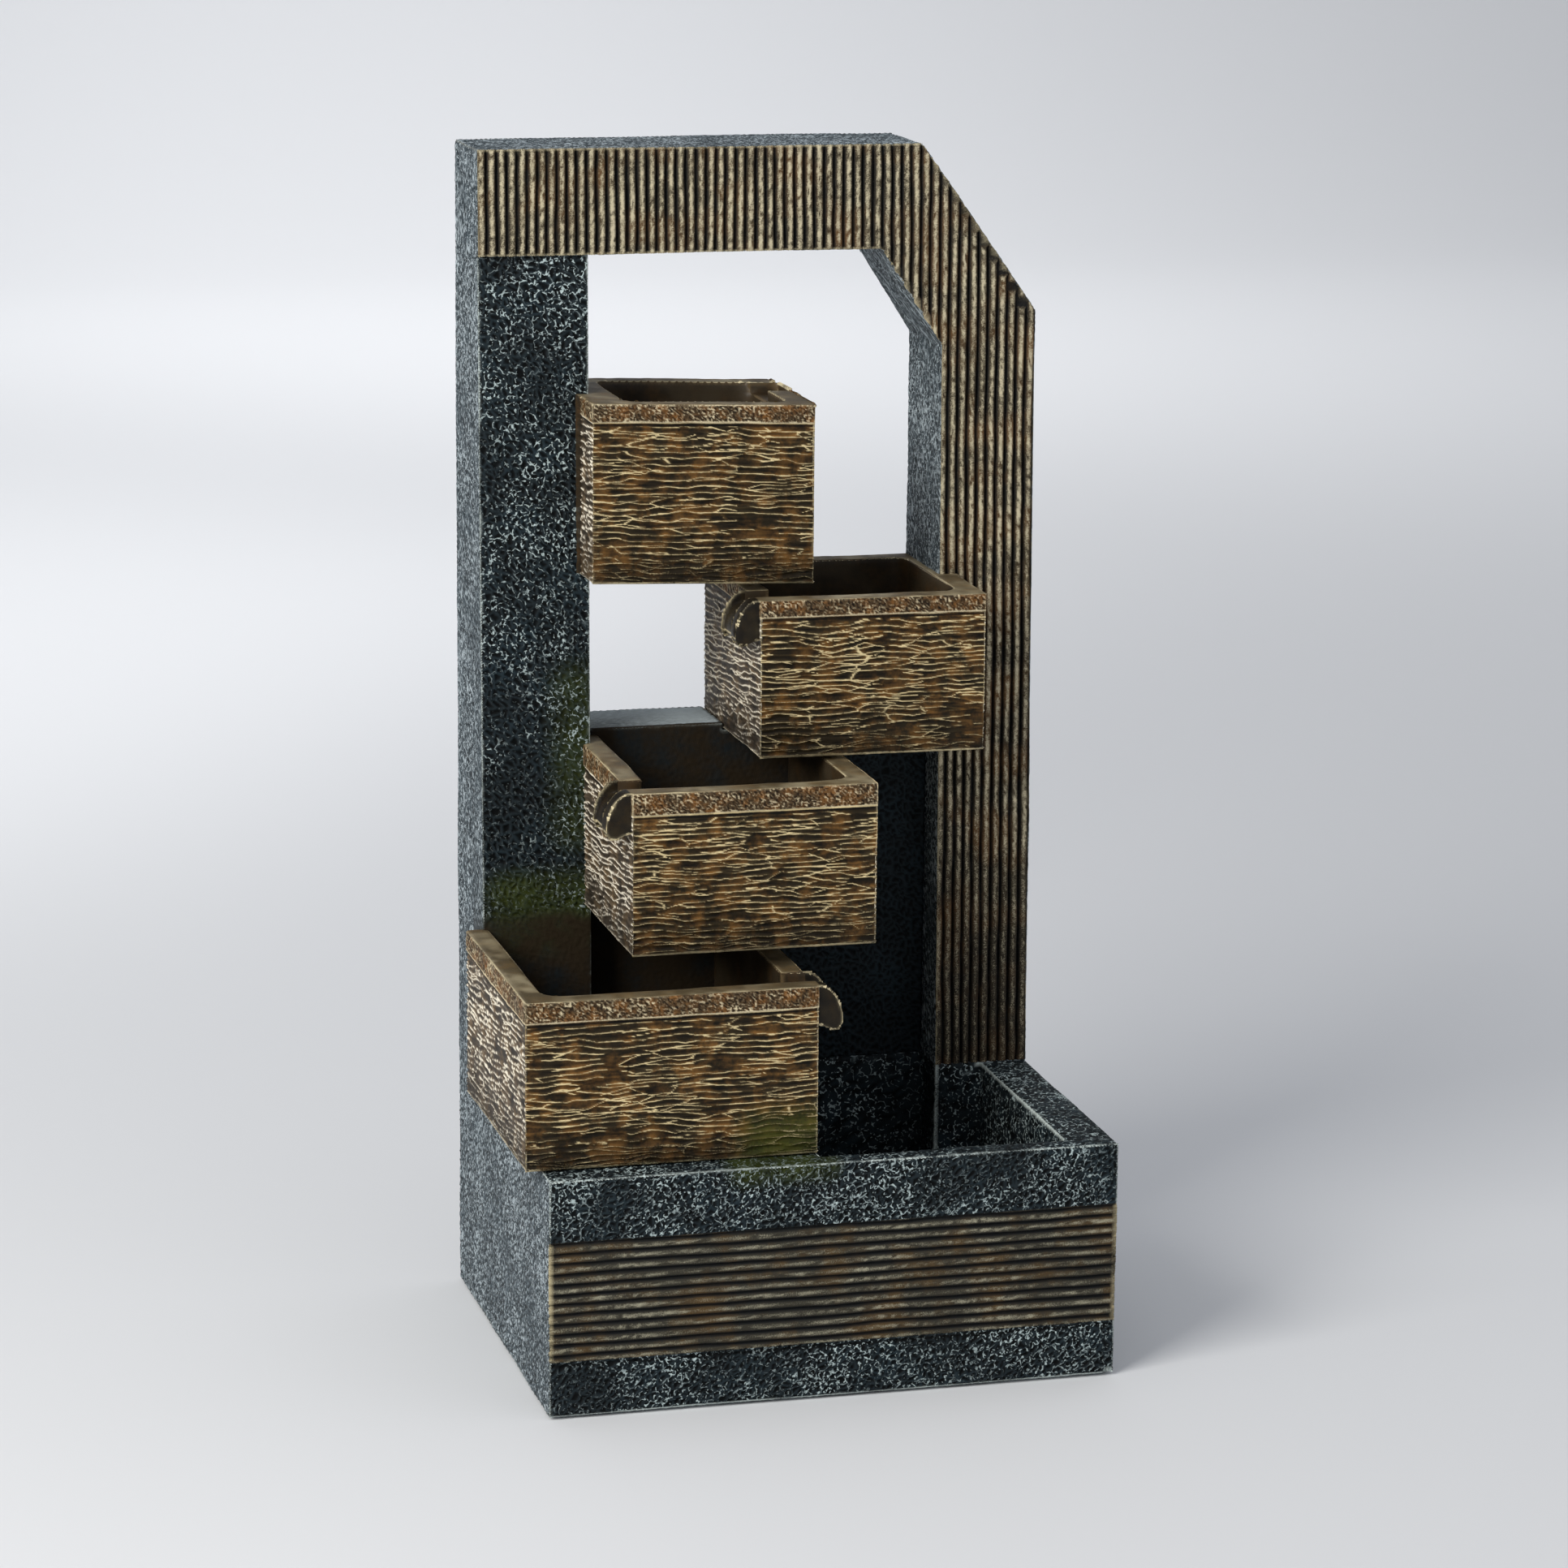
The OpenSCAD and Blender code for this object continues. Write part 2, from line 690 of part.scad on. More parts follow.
module shaft_bushes() framed() color("#2a2a2a") {
    for (y = [shaft_y0, shaft_y1 - bush_l]) on_axis(y) difference() {
        rod_y(bush_r, bush_l);
        translate([0, -over, 0]) rod_y(shaft_r, bush_l + 2 * over);
    }
}

module impeller_shaft() framed() color("white")
    on_axis(shaft_y0) rod_y(shaft_r, shaft_y1 - shaft_y0);

module impeller_magnet() framed() color("#3b3f44")
    on_axis(shaft_y0 + bush_l + 0.5) difference() {
        length = hub_y - shaft_y0 - bush_l - 0.5;
        rod_y(magnet_r, length);
        translate([0, -over, 0]) rod_y(shaft_r + run_gap, length + 2 * over);
    }

module impeller() framed() color("#d9dde0") on_axis(hub_y) difference() {
    union() {
        rod_y(hub_r, hub_l);
        translate([0, hub_l - blade_l - web_t + 0.9, 0]) rod_y(blade_r, web_t);
        for (turn = [0 : 60 : 300]) rotate([0, turn, 0])
            translate([hub_r - 0.5, hub_l - blade_l, -blade_t / 2])
                cube([blade_r - hub_r + 0.4, blade_l, blade_t]);
    }
    translate([0, -over, 0]) rod_y(shaft_r + run_gap, hub_l + 2 * over);
}

module volute_housing() framed() color("#1f2326") difference() {
    union() {
        block(pump_x - pump_w / 2, pump_x + pump_w / 2, volute_y, strainer_y,
            pump_z, pump_z + volute_h);
        translate([riser_x, riser_y, pump_z + volute_h]) cylinder(r = hose_bore_r,
            h = nozzle_top - pump_z - volute_h);
    }
    on_axis(volute_y - over) rod_y(chamber_r, volute_l - chamber_back + over);
    // Eye of the impeller, round the spider that holds the front bush
    on_axis(volute_y) difference() {
        rod_y(eye_r, volute_l + over);
        rod_y(bush_r + 1.2, volute_l + 2 * over);
        for (turn = [0, 120, 240]) rotate([0, turn, 0])
            translate([0, 0, -spider_t / 2]) cube([chamber_r, volute_l + 2 * over, spider_t]);
    }
    on_axis(volute_y) rod_y(bush_r, shaft_y1 - volute_y);
    translate([riser_x, riser_y, axis_z]) cylinder(r = hose_bore_r - 1.2, h = pump_h);
}

module strainer_cover() framed() color("#24292d") difference() {
    block(pump_x - pump_w / 2, pump_x + pump_w / 2, strainer_y, strainer_y1,
        pump_z, pump_z + volute_h);
    block(pump_x - pump_w / 2 + shell, pump_x + pump_w / 2 - shell,
        strainer_y - over, strainer_y1 - shell, pump_z + shell, pump_z + volute_h - shell);
    for (i = [-5 : 5]) if (abs(i) > 2)
        translate([pump_x + i * slot_pitch - slot_w / 2, strainer_y1 - shell - over,
            pump_z + slot_end])
            cube([slot_w, shell + 2 * over, volute_h - 2 * slot_end]);
    on_axis(strainer_y1 - shell - over) rod_y(dial_stub_r + run_gap, shell + 2 * over);
}

module filter_sponge() framed() color("#2e3c4a") difference() {
    block(pump_x - pump_w / 2 + shell, pump_x + pump_w / 2 - shell,
        strainer_y + 1.5, strainer_y1 - shell, pump_z + shell, pump_z + volute_h - shell);
    on_axis(strainer_y) rod_y(dial_stub_r + 2.5, strainer_l);
}

module flow_dial() framed() color("#c8ccd0") {
    on_axis(strainer_y1 - shell - 1.3) rod_y(dial_stub_r + 0.8, 1.2);
    on_axis(strainer_y1 - shell - 0.5) rod_y(dial_stub_r, shell + 1);
    on_axis(strainer_y1 + 0.1) rod_y(dial_r, dial_t - 0.1);
    on_axis(strainer_y1 + 0.1) translate([-0.6, 0, 0]) cube([1.2, dial_t + 0.5, dial_r + 3]);
}

module suction_cups() framed() color("#3a3d40")
    for (x = [-cup_x, cup_x], y = [motor_y + cup_inset, strainer_y - cup_inset])
        translate([pump_x + x, y, floor_z]) rotate_extrude()
            polygon([[0, 1.6], [4.6, 0], [5.2, 0], [5.2, 0.5], [2.2, 2.4],
                [2.2, cup_h], [0, cup_h]]);

// ---- Hose and inlet ----

module riser_hose() framed() color("#9fb3ad") translate([riser_x, riser_y, hose_z0])
    difference() {
        cylinder(r = hose_r, h = hose_z1 - hose_z0);
        translate([0, 0, -over]) cylinder(r = hose_bore_r, h = hose_z1 - hose_z0 + 2 * over);
    }

module hose_clamps() framed() color("silver")
    for (z = [hose_z0 + clamp_w, hose_z1 - 2 * clamp_w]) translate([riser_x, riser_y, z]) difference() {
        union() {
            cylinder(r = hose_r + clamp_t, h = clamp_w);
            translate([0, -hose_r - clamp_lug, 0]) cube([clamp_lug, clamp_w, clamp_w]);
        }
        translate([0, 0, -over]) cylinder(r = hose_r, h = clamp_w + 2 * over);
    }

module inlet_elbow() framed() color("#1d2023") {
    wall_x = column_w - cast_wall;
    end_x = column_w + bowl_wall + spigot_proud;
    difference() {
        union() {
            translate([riser_x, riser_y, hose_z1 - barb_l])
                cylinder(r = hose_bore_r, h = barb_l + 2);
            translate([riser_x, riser_y, hose_z1])
                cylinder(r = spigot_r + 0.8, h = inlet_z - hose_z1);
            translate([riser_x, riser_y, inlet_z]) sphere(r = spigot_r + 0.8);
            translate([riser_x, riser_y, inlet_z]) rod_x(spigot_r, end_x - riser_x);
            translate([wall_x - gasket_t - collar_t, riser_y, inlet_z])
                rod_x(spigot_r + nut_grip - 1, collar_t);
        }
        translate([riser_x, riser_y, hose_z1 - barb_l - over])
            cylinder(r = hose_bore_r - 1.2, h = inlet_z - hose_z1 + barb_l + over);
        translate([riser_x, riser_y, inlet_z]) rod_x(spigot_r - 1.8, end_x);
    }
}

module inlet_gasket() framed() color("#222222")
    translate([column_w - cast_wall - gasket_t, riser_y, inlet_z]) difference() {
        rod_x(spigot_r + nut_grip - 1, gasket_t);
        translate([-over, 0, 0]) rod_x(spigot_r, gasket_t + 2 * over);
    }

module inlet_nut() framed() color("#1d2023")
    translate([column_w + bowl_wall, riser_y, inlet_z]) difference() {
        rotate([0, 90, 0]) cylinder(r = spigot_r + nut_grip, h = nut_t, $fn = 6);
        translate([-over, 0, 0]) rod_x(spigot_r, nut_t + 2 * over);
    }

base_basin();
base_back();
ribbed_band();
left_column();
ribbed_arch();
back_panel();
bottom_bowl();
lower_bowl();
upper_bowl();
top_bowl();
foot_pads();
door_frame();
door_frame_screws();
door_hinge_pin();
pump_door();
cable_grommet();
pump_body();
stator_core();
coil_bobbin();
coil_winding();
potting_resin();
lead_gland();
shaft_bushes();
impeller_shaft();
impeller_magnet();
impeller();
volute_housing();
strainer_cover();
filter_sponge();
flow_dial();
suction_cups();
riser_hose();
hose_clamps();
inlet_elbow();
inlet_gasket();
inlet_nut();
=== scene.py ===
import itertools
import json
import math

import bmesh
import bpy
import numpy as np
from mathutils import Euler, Matrix, Vector
from mathutils.kdtree import KDTree


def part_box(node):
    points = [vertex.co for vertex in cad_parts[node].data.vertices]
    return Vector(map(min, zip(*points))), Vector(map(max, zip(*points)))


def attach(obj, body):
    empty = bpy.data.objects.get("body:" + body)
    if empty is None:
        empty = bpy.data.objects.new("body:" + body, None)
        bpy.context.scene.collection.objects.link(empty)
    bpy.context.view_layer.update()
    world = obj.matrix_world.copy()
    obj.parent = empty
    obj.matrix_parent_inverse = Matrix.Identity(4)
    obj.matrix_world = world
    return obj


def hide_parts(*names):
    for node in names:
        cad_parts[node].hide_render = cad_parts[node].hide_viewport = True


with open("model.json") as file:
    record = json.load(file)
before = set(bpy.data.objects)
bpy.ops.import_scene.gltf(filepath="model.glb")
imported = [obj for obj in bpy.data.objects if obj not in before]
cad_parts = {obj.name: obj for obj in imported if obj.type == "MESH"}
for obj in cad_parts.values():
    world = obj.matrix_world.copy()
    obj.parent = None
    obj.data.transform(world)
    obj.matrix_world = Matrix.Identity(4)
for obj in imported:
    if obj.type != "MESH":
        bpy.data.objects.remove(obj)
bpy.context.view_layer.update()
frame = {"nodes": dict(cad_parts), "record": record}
cadNodes = frame["nodes"]
print("frame loaded:", len(cadNodes), "nodes")

# Meshes are shaped in millimetres and turned to metres at the end
metre = 0.001
coarser = 1.0


def cornersOf(name):
    low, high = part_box(name)
    return low / metre, high / metre


def linear(hexColour):
    parts = [int(hexColour[i:i + 2], 16) / 255 for i in (1, 3, 5)]
    return [c / 12.92 if c <= 0.04045 else ((c + 0.055) / 1.055) ** 2.4 for c in parts] + [1.0]


# One helper for every shader node: inputs by name or number, other settings by keyword
def addNode(tree, kind, inputs=None, **settings):
    made = tree.nodes.new(kind)
    for key, value in settings.items():
        setattr(made, key, value)
    for key, value in (inputs or {}).items():
        if isinstance(value, bpy.types.NodeSocket):
            tree.links.new(value, made.inputs[key])
        else:
            made.inputs[key].default_value = value
    return made


# ---------- camera, light and floor ----------

studio = {
    "cameraAt": (-0.4318, -1.6340, 0.5809),
    "cameraTilt": 77.216,  # degrees from straight down
    "cameraHeading": -14.909,
    "cameraRoll": 0.58,
    "lens": 114.9,
    "floorHex": "#E2E3E5",
    "worldHex": "#E9ECF2",
    "worldStrength": 0.50,
    # name, place, what it aims at, size, watts, colour
    "lamps": [
        ("keyLamp", (-1.30, -0.85, 1.15), (0, 0, 0.2), 0.9, 27.0, "#FFFDF8"),
        ("topLamp", (0.1, 0.0, 1.9), (0, 0, 0.2), 1.6, 4.5, "#F6F9FF"),
        ("wallLamp", (0.33, 2.6, 1.28), (0.79, 3.07, 0.31), 1.3, 16.0, "#FFFFFF"),
        ("floorLamp", (-0.34, 1.35, 0.40), (-0.39, 1.39, 0), 1.1, 2.6, "#FFFFFF"),
    ],
}


def buildStudio():
    scene = bpy.context.scene
    camera = bpy.data.objects.new("camera", bpy.data.cameras.new("camera"))
    scene.collection.objects.link(camera)
    camera.data.lens = studio["lens"]
    camera.data.sensor_width = 36.0
    camera.data.clip_end = 50.0
    camera.location = studio["cameraAt"]
    turn = Euler((math.radians(studio["cameraTilt"]), 0, math.radians(studio["cameraHeading"])))
    roll = Matrix.Rotation(math.radians(studio["cameraRoll"]), 3, "Z")
    camera.rotation_euler = (turn.to_matrix() @ roll).to_euler()
    scene.camera = camera
    scene.view_settings.view_transform = "Standard"
    for name, place, aim, size, watts, hexColour in studio["lamps"]:
        lamp = bpy.data.lights.new(name, "AREA")
        lamp.size = size
        lamp.energy = watts
        lamp.color = linear(hexColour)[:3]
        holder = bpy.data.objects.new(name, lamp)
        holder.location = place
        holder.rotation_euler = (Vector(aim) - Vector(place)).to_track_quat("-Z", "Y").to_euler()
        holder.visible_camera = False
        scene.collection.objects.link(holder)
    world = bpy.data.worlds.new("softRoom")
    world.use_nodes = True
    world.node_tree.nodes["Background"].inputs["Color"].default_value = linear(studio["worldHex"])
    world.node_tree.nodes["Background"].inputs["Strength"].default_value = studio["worldStrength"]
    scene.world = world

    # Paper sweep: a floor that curves up into a wall far behind
    bm = bmesh.new()
    start = bm.verts.new((-7, -5, 0))
    floorEdge = bmesh.ops.extrude_vert_indiv(bm, verts=[start])["verts"][0]
    floorEdge.co = (-7, 3.0, 0)
    bmesh.ops.spin(bm, geom=[floorEdge], cent=(-7, 3.0, 1.5), axis=(1, 0, 0), angle=math.radians(90), steps=16)
    top = max(bm.verts, key=lambda v: v.co.z)
    wallTop = bmesh.ops.extrude_vert_indiv(bm, verts=[top])["verts"][0]
    wallTop.co = top.co + Vector((0, 0, 6))
    made = bmesh.ops.extrude_edge_only(bm, edges=bm.edges[:])["geom"]
    bmesh.ops.translate(bm, verts=[v for v in made if isinstance(v, bmesh.types.BMVert)], vec=(14, 0, 0))
    bmesh.ops.recalc_face_normals(bm, faces=bm.faces)
    sweep = bpy.data.objects.new("paperSweep", bpy.data.meshes.new("paperSweep"))
    bm.to_mesh(sweep.data)
    bm.free()
    sweep.data.shade_smooth()
    scene.collection.objects.link(sweep)
    paper = bpy.data.materials.new("mattPaper")
    paper.use_nodes = True
    shader = paper.node_tree.nodes["Principled BSDF"]
    shader.inputs["Base Color"].default_value = linear(studio["floorHex"])
    shader.inputs["Roughness"].default_value = 0.9
    sweep.data.materials.append(paper)
    print("studio ready")


buildStudio()


# ---------- fields that shape the castings ----------

# Repeatable random value from 0 to 1 for each lattice point
def lattice(seed, *points):
    mixed = np.full(points[0].shape, seed * 9176 + 77, np.int64)
    for point, prime in zip(points, (73856093, 19349663, 83492791)):
        mixed = mixed ^ (point * prime)
        mixed = (mixed * 1103515245 + 12345) & 0x7FFFFFFF
        mixed = mixed ^ (mixed >> 13)
    return (mixed & 0xFFFF) / 65535.0


# Smooth noise from -1 to 1 on two or three coordinates
def noise(seed, *places):
    cell = [np.floor(p).astype(np.int64) for p in places]
    eased = [(p - c) ** 2 * (3 - 2 * (p - c)) for p, c in zip(places, cell)]
    total = np.zeros(places[0].shape)
    for corner in itertools.product((0, 1), repeat=len(places)):
        weight = np.ones(places[0].shape)
        for bit, e in zip(corner, eased):
            weight = weight * (e if bit else 1 - e)
        total += weight * lattice(seed, *[c + bit for c, bit in zip(cell, corner)])
    return total * 2 - 1


# One random point per cell: distance to the nearest one in cells, to the wall between
# the two nearest ones in millimetres, and how level that wall runs
def cellWalls(seed, u, v, wide, tall):
    cellU, cellV = np.floor(u / wide).astype(np.int64), np.floor(v / tall).astype(np.int64)
    near, nearU, nearV = np.full(u.shape, 9.0), np.zeros(u.shape), np.zeros(u.shape)
    second, secondU, secondV = near.copy(), nearU.copy(), nearV.copy()
    for stepU, stepV in itertools.product((-1, 0, 1), repeat=2):
        pointU, pointV = cellU + stepU, cellV + stepV
        apartU = u / wide - pointU - lattice(seed, pointU, pointV)
        apartV = v / tall - pointV - lattice(seed + 1, pointU, pointV)
        apart = np.sqrt(apartU ** 2 + apartV ** 2)
        closest, closer = apart < near, apart < second
        second = np.where(closest, near, np.where(closer, apart, second))
        secondU = np.where(closest, nearU, np.where(closer, apartU, secondU))
        secondV = np.where(closest, nearV, np.where(closer, apartV, secondV))
        near, nearU, nearV = (np.where(closest, new, old) for new, old in
                              ((apart, near), (apartU, nearU), (apartV, nearV)))
    near, second = np.maximum(near, 1e-4), np.maximum(second, 1e-4)
    slope = np.hypot((nearU / near - secondU / second) / wide, (nearV / near - secondV / second) / tall)
    rise = np.abs(nearV / near - secondV / second) / tall
    return near, (second - near) / np.maximum(slope, 0.25 / max(wide, tall)), rise / np.maximum(slope, 1e-4)


# Distance in millimetres to the nearest line of a family of wandering lines
def lineGap(phaseAt, u, v):
    phase = phaseAt(u, v)
    slope = np.hypot(phaseAt(u, v + 0.1) - phase, phaseAt(u + 0.1, v) - phase) / 0.1
    return np.abs(phase - np.round(phase)) / np.maximum(slope, 0.12)


def ease(low, high, x):
    t = np.clip((x - low) / (high - low), 0, 1)
    return t * t * (3 - 2 * t)


# Hammered stone: short broken crests round small dents, in millimetres. slant is 1 where
# the crests rise to the right and -1 where they fall.
# Every relief returns its height (0 at most), its crest and its hollow
def hammered(seed, u, v, dent, depth, slant=1):
    pullU = noise(seed + 2, u / 3.2, v / 3.2) * 1.0
    pullV = noise(seed + 3, u / 3.2, v / 3.2) * 1.0
    along = (u + pullU + slant * (v + pullV)) * 0.707
    across = (v + pullV - slant * (u + pullU)) * 0.707
    wall = cellWalls(seed, along, across, dent * 1.25, dent * 0.85)[1]
    swell = 0.5 + 0.5 * noise(seed + 4, u / 6.0, v / 6.0)
    broken = ease(-0.5, 0.6, noise(seed + 5, along / 1.5, across / 0.9))
    crest = (1 - ease(0.04, 0.15 * dent, wall)) * broken
    height = -depth * ease(0, 0.40 * dent, wall) * (0.5 + 0.5 * swell) - 0.3 * depth * (1 - broken)
    return height, crest * (0.55 + 0.45 * swell), ease(0.05, 0.34 * dent, wall)


# Carved bark: long thin crests that wander, meet at sharp angles and part again
def gouged(seed, u, v, pitch, depth):
    def longLines(u, v):
        bend = noise(seed, u / 18.0, v / 7.0) * 0.62 + noise(seed + 1, u / 6.0, v / 3.5) * 0.26
        return v / pitch + bend + noise(seed + 2, u / 2.0, v / 1.8) * 0.06

    bentV = v + 1.2 * noise(seed + 3, u / 17.0, v / 9.0) + 0.5 * noise(seed + 4, u / 5.0, v / 4.0)
    wall, level = cellWalls(seed + 5, u + 3.0 * noise(seed + 6, u / 12.0, v / 3.0), bentV, pitch * 6, pitch * 1.3)[1:]
    branch = wall + 1.5 * (1 - ease(0.5, 0.88, level)) + 1.2 * ease(0.15, 0.5, noise(seed + 7, u / 8.0, v / 4.0))
    faded = 0.7 * ease(0.42, 0.75, noise(seed + 8, u / 9.0, v / 2.5))
    gap = np.minimum(lineGap(longLines, u, v) + faded, branch)
    vigour = 0.5 + 0.5 * noise(seed + 9, u / 6.0, v / 2.2)
    broken = 0.5 + 0.5 * noise(seed + 10, u / 1.5, v / 0.9)
    crest = 1 - ease(0.05, 0.30, gap)
    chisel = noise(seed + 11, u / 4.5, v / 0.62)
    height = -depth * (1 - np.exp(-gap / 0.42)) * (0.55 + 0.45 * vigour) - 0.09 * (1 + chisel)
    shade = ease(0.08, 0.90, gap) * (0.76 + 0.24 * chisel)
    return height, crest * (0.25 + 0.45 * vigour + 0.45 * broken), shade


# Pitted plain band
def pitted(seed, u, v, depth):
    near = cellWalls(seed, u, v, 0.9, 0.75)[0]
    pit = 1 - ease(0.15, 0.5, near)
    broad = 0.5 + 0.5 * noise(seed + 2, u / 3.5, v / 1.8)
    return -depth * pit * (0.5 + 0.5 * broad) - 0.1 * broad, ease(0.3, 0.75, near) * (0.3 + 0.7 * broad), pit


# Round ribs side by side: across runs over the ribs, along runs with them
def fluted(seed, across, along, pitch, depth):
    drift = noise(seed, across / 9.0, along / 24.0) * 0.28 + noise(seed + 1, across / 3.0, along / 9.0) * 0.16
    place = (across + drift) / pitch
    offset = np.abs(place - np.floor(place) - 0.5) * 2  # 0 on the crown, 1 in the groove
    groove = ease(0.66, 0.98, offset)
    worn = 0.5 + 0.5 * noise(seed + 2, across / pitch * 0.9, along / 11.0)
    speckle = 0.5 + 0.5 * noise(seed + 4, across / 0.7, along / 1.0)
    pit = ease(0.35, 0.9, noise(seed + 3, across / 0.8, along / 1.1))
    height = -depth * groove - 0.3 * offset ** 2 - 0.22 * pit - 0.12 * (1 - worn)
    crest = (1 - ease(0.12, 0.78, offset)) * (0.14 + 0.36 * worn + 0.66 * speckle) * (1 - 0.8 * pit)
    return height, crest, ease(0.42, 0.78, offset)


# Nearly smooth hand-finished surface
def smoothed(seed, u, v, depth):
    swell = noise(seed, u / 12.0, v / 12.0) * 0.6 + noise(seed + 1, u / 3.5, v / 3.5) * 0.4
    return -depth * (0.5 + 0.5 * swell), 0.5 + 0.5 * swell, 0.3 * (1 - swell)


# ---------- low solids to sculpt ----------

def solidOf(bm, name):
    bmesh.ops.recalc_face_normals(bm, faces=bm.faces)
    made = bpy.data.objects.new(name, bpy.data.meshes.new(name))
    bm.to_mesh(made.data)
    bm.free()
    bpy.context.scene.collection.objects.link(made)
    return made


def blockBetween(low, high, name="block"):
    bm = bmesh.new()
    bmesh.ops.create_cube(bm, size=1.0)
    low, high = Vector(low), Vector(high)
    bmesh.ops.scale(bm, vec=high - low, verts=bm.verts)
    bmesh.ops.translate(bm, vec=(low + high) / 2, verts=bm.verts)
    return solidOf(bm, name)


# Solid drawn out along y from an outline in x and z
def prismOf(outline, yFront, yRear, name="prism"):
    bm = bmesh.new()
    face = bm.faces.new([bm.verts.new((x, yFront, z)) for x, z in outline])
    made = bmesh.ops.extrude_face_region(bm, geom=[face])["geom"]
    moved = [v for v in made if isinstance(v, bmesh.types.BMVert)]
    bmesh.ops.translate(bm, verts=moved, vec=(0, yRear - yFront, 0))
    return solidOf(bm, name)


def bevelEdges(solid, size, segments, choose):
    bm = bmesh.new()
    bm.from_mesh(solid.data)
    edges = [e for e in bm.edges if choose((e.verts[0].co + e.verts[1].co) / 2, e.verts[1].co - e.verts[0].co)]
    bmesh.ops.bevel(bm, geom=edges, offset=size, segments=segments, profile=0.5, affect="EDGES", material=-1)
    bm.to_mesh(solid.data)
    bm.free()
    return solid


# Adds (UNION) or takes away (DIFFERENCE) another solid, which is used up
def combine(target, other, how):
    step = target.modifiers.new("combine", "BOOLEAN")
    step.operation = how
    step.solver = "EXACT"
    step.object = other
    bpy.context.view_layer.update()
    mesh = bpy.data.meshes.new_from_object(target.evaluated_get(bpy.context.evaluated_depsgraph_get()))
    target.modifiers.clear()
    target.data = mesh
    bpy.data.objects.remove(other)
    return target


# ---------- sculpting ----------

# Cuts the solid into a coarse grid that follows its own flat faces
def sliceSolid(bm, steps):
    bmesh.ops.remove_doubles(bm, verts=bm.verts, dist=0.002)
    bmesh.ops.dissolve_limit(bm, angle_limit=math.radians(0.4), verts=bm.verts, edges=bm.edges)
    stops = [set(), set(), set()]
    for edge in bm.edges:
        run = edge.verts[1].co - edge.verts[0].co
        for axis in range(3):
            if abs(run[axis]) > 4 and abs(run[axis]) > 0.999 * run.length:
                for other in {0, 1, 2} - {axis}:
                    stops[other].add(round(edge.verts[0].co[other], 3))
    for axis in range(3):
        normal = Vector((0, 0, 0))
        normal[axis] = 1
        kept = []
        for stop in sorted(stops[axis]):
            if not kept or stop - kept[-1] > 0.45:
                kept.append(stop)
        lines = list(kept[1:-1])
        for low, high in zip(kept, kept[1:]):
            count = max(1, round((high - low) / steps[axis]))
            lines += [low + (high - low) * i / count for i in range(1, count)]
        for line in lines:
            bmesh.ops.bisect_plane(bm, geom=bm.verts[:] + bm.edges[:] + bm.faces[:], dist=0.01,
                                   plane_co=normal * line, plane_no=normal)


# Halves the edges of each kind of face until they are as short as that kind asks
def refineSolid(bm, goals):
    for _ in range(6):
        long = set()
        for face in bm.faces:
            goal = goals[face.material_index]
            if goal is None:
                continue
            for edge in face.edges:
                if edge in long:
                    continue
                run = edge.verts[1].co - edge.verts[0].co
                limits = [abs(run[a]) / goal[a] for a in range(3)]
                if max(limits) > 1.42 * coarser:
                    long.add(edge)
        if not long:
            break
        bmesh.ops.subdivide_edges(bm, edges=list(long), cuts=1, use_grid_fill=True)


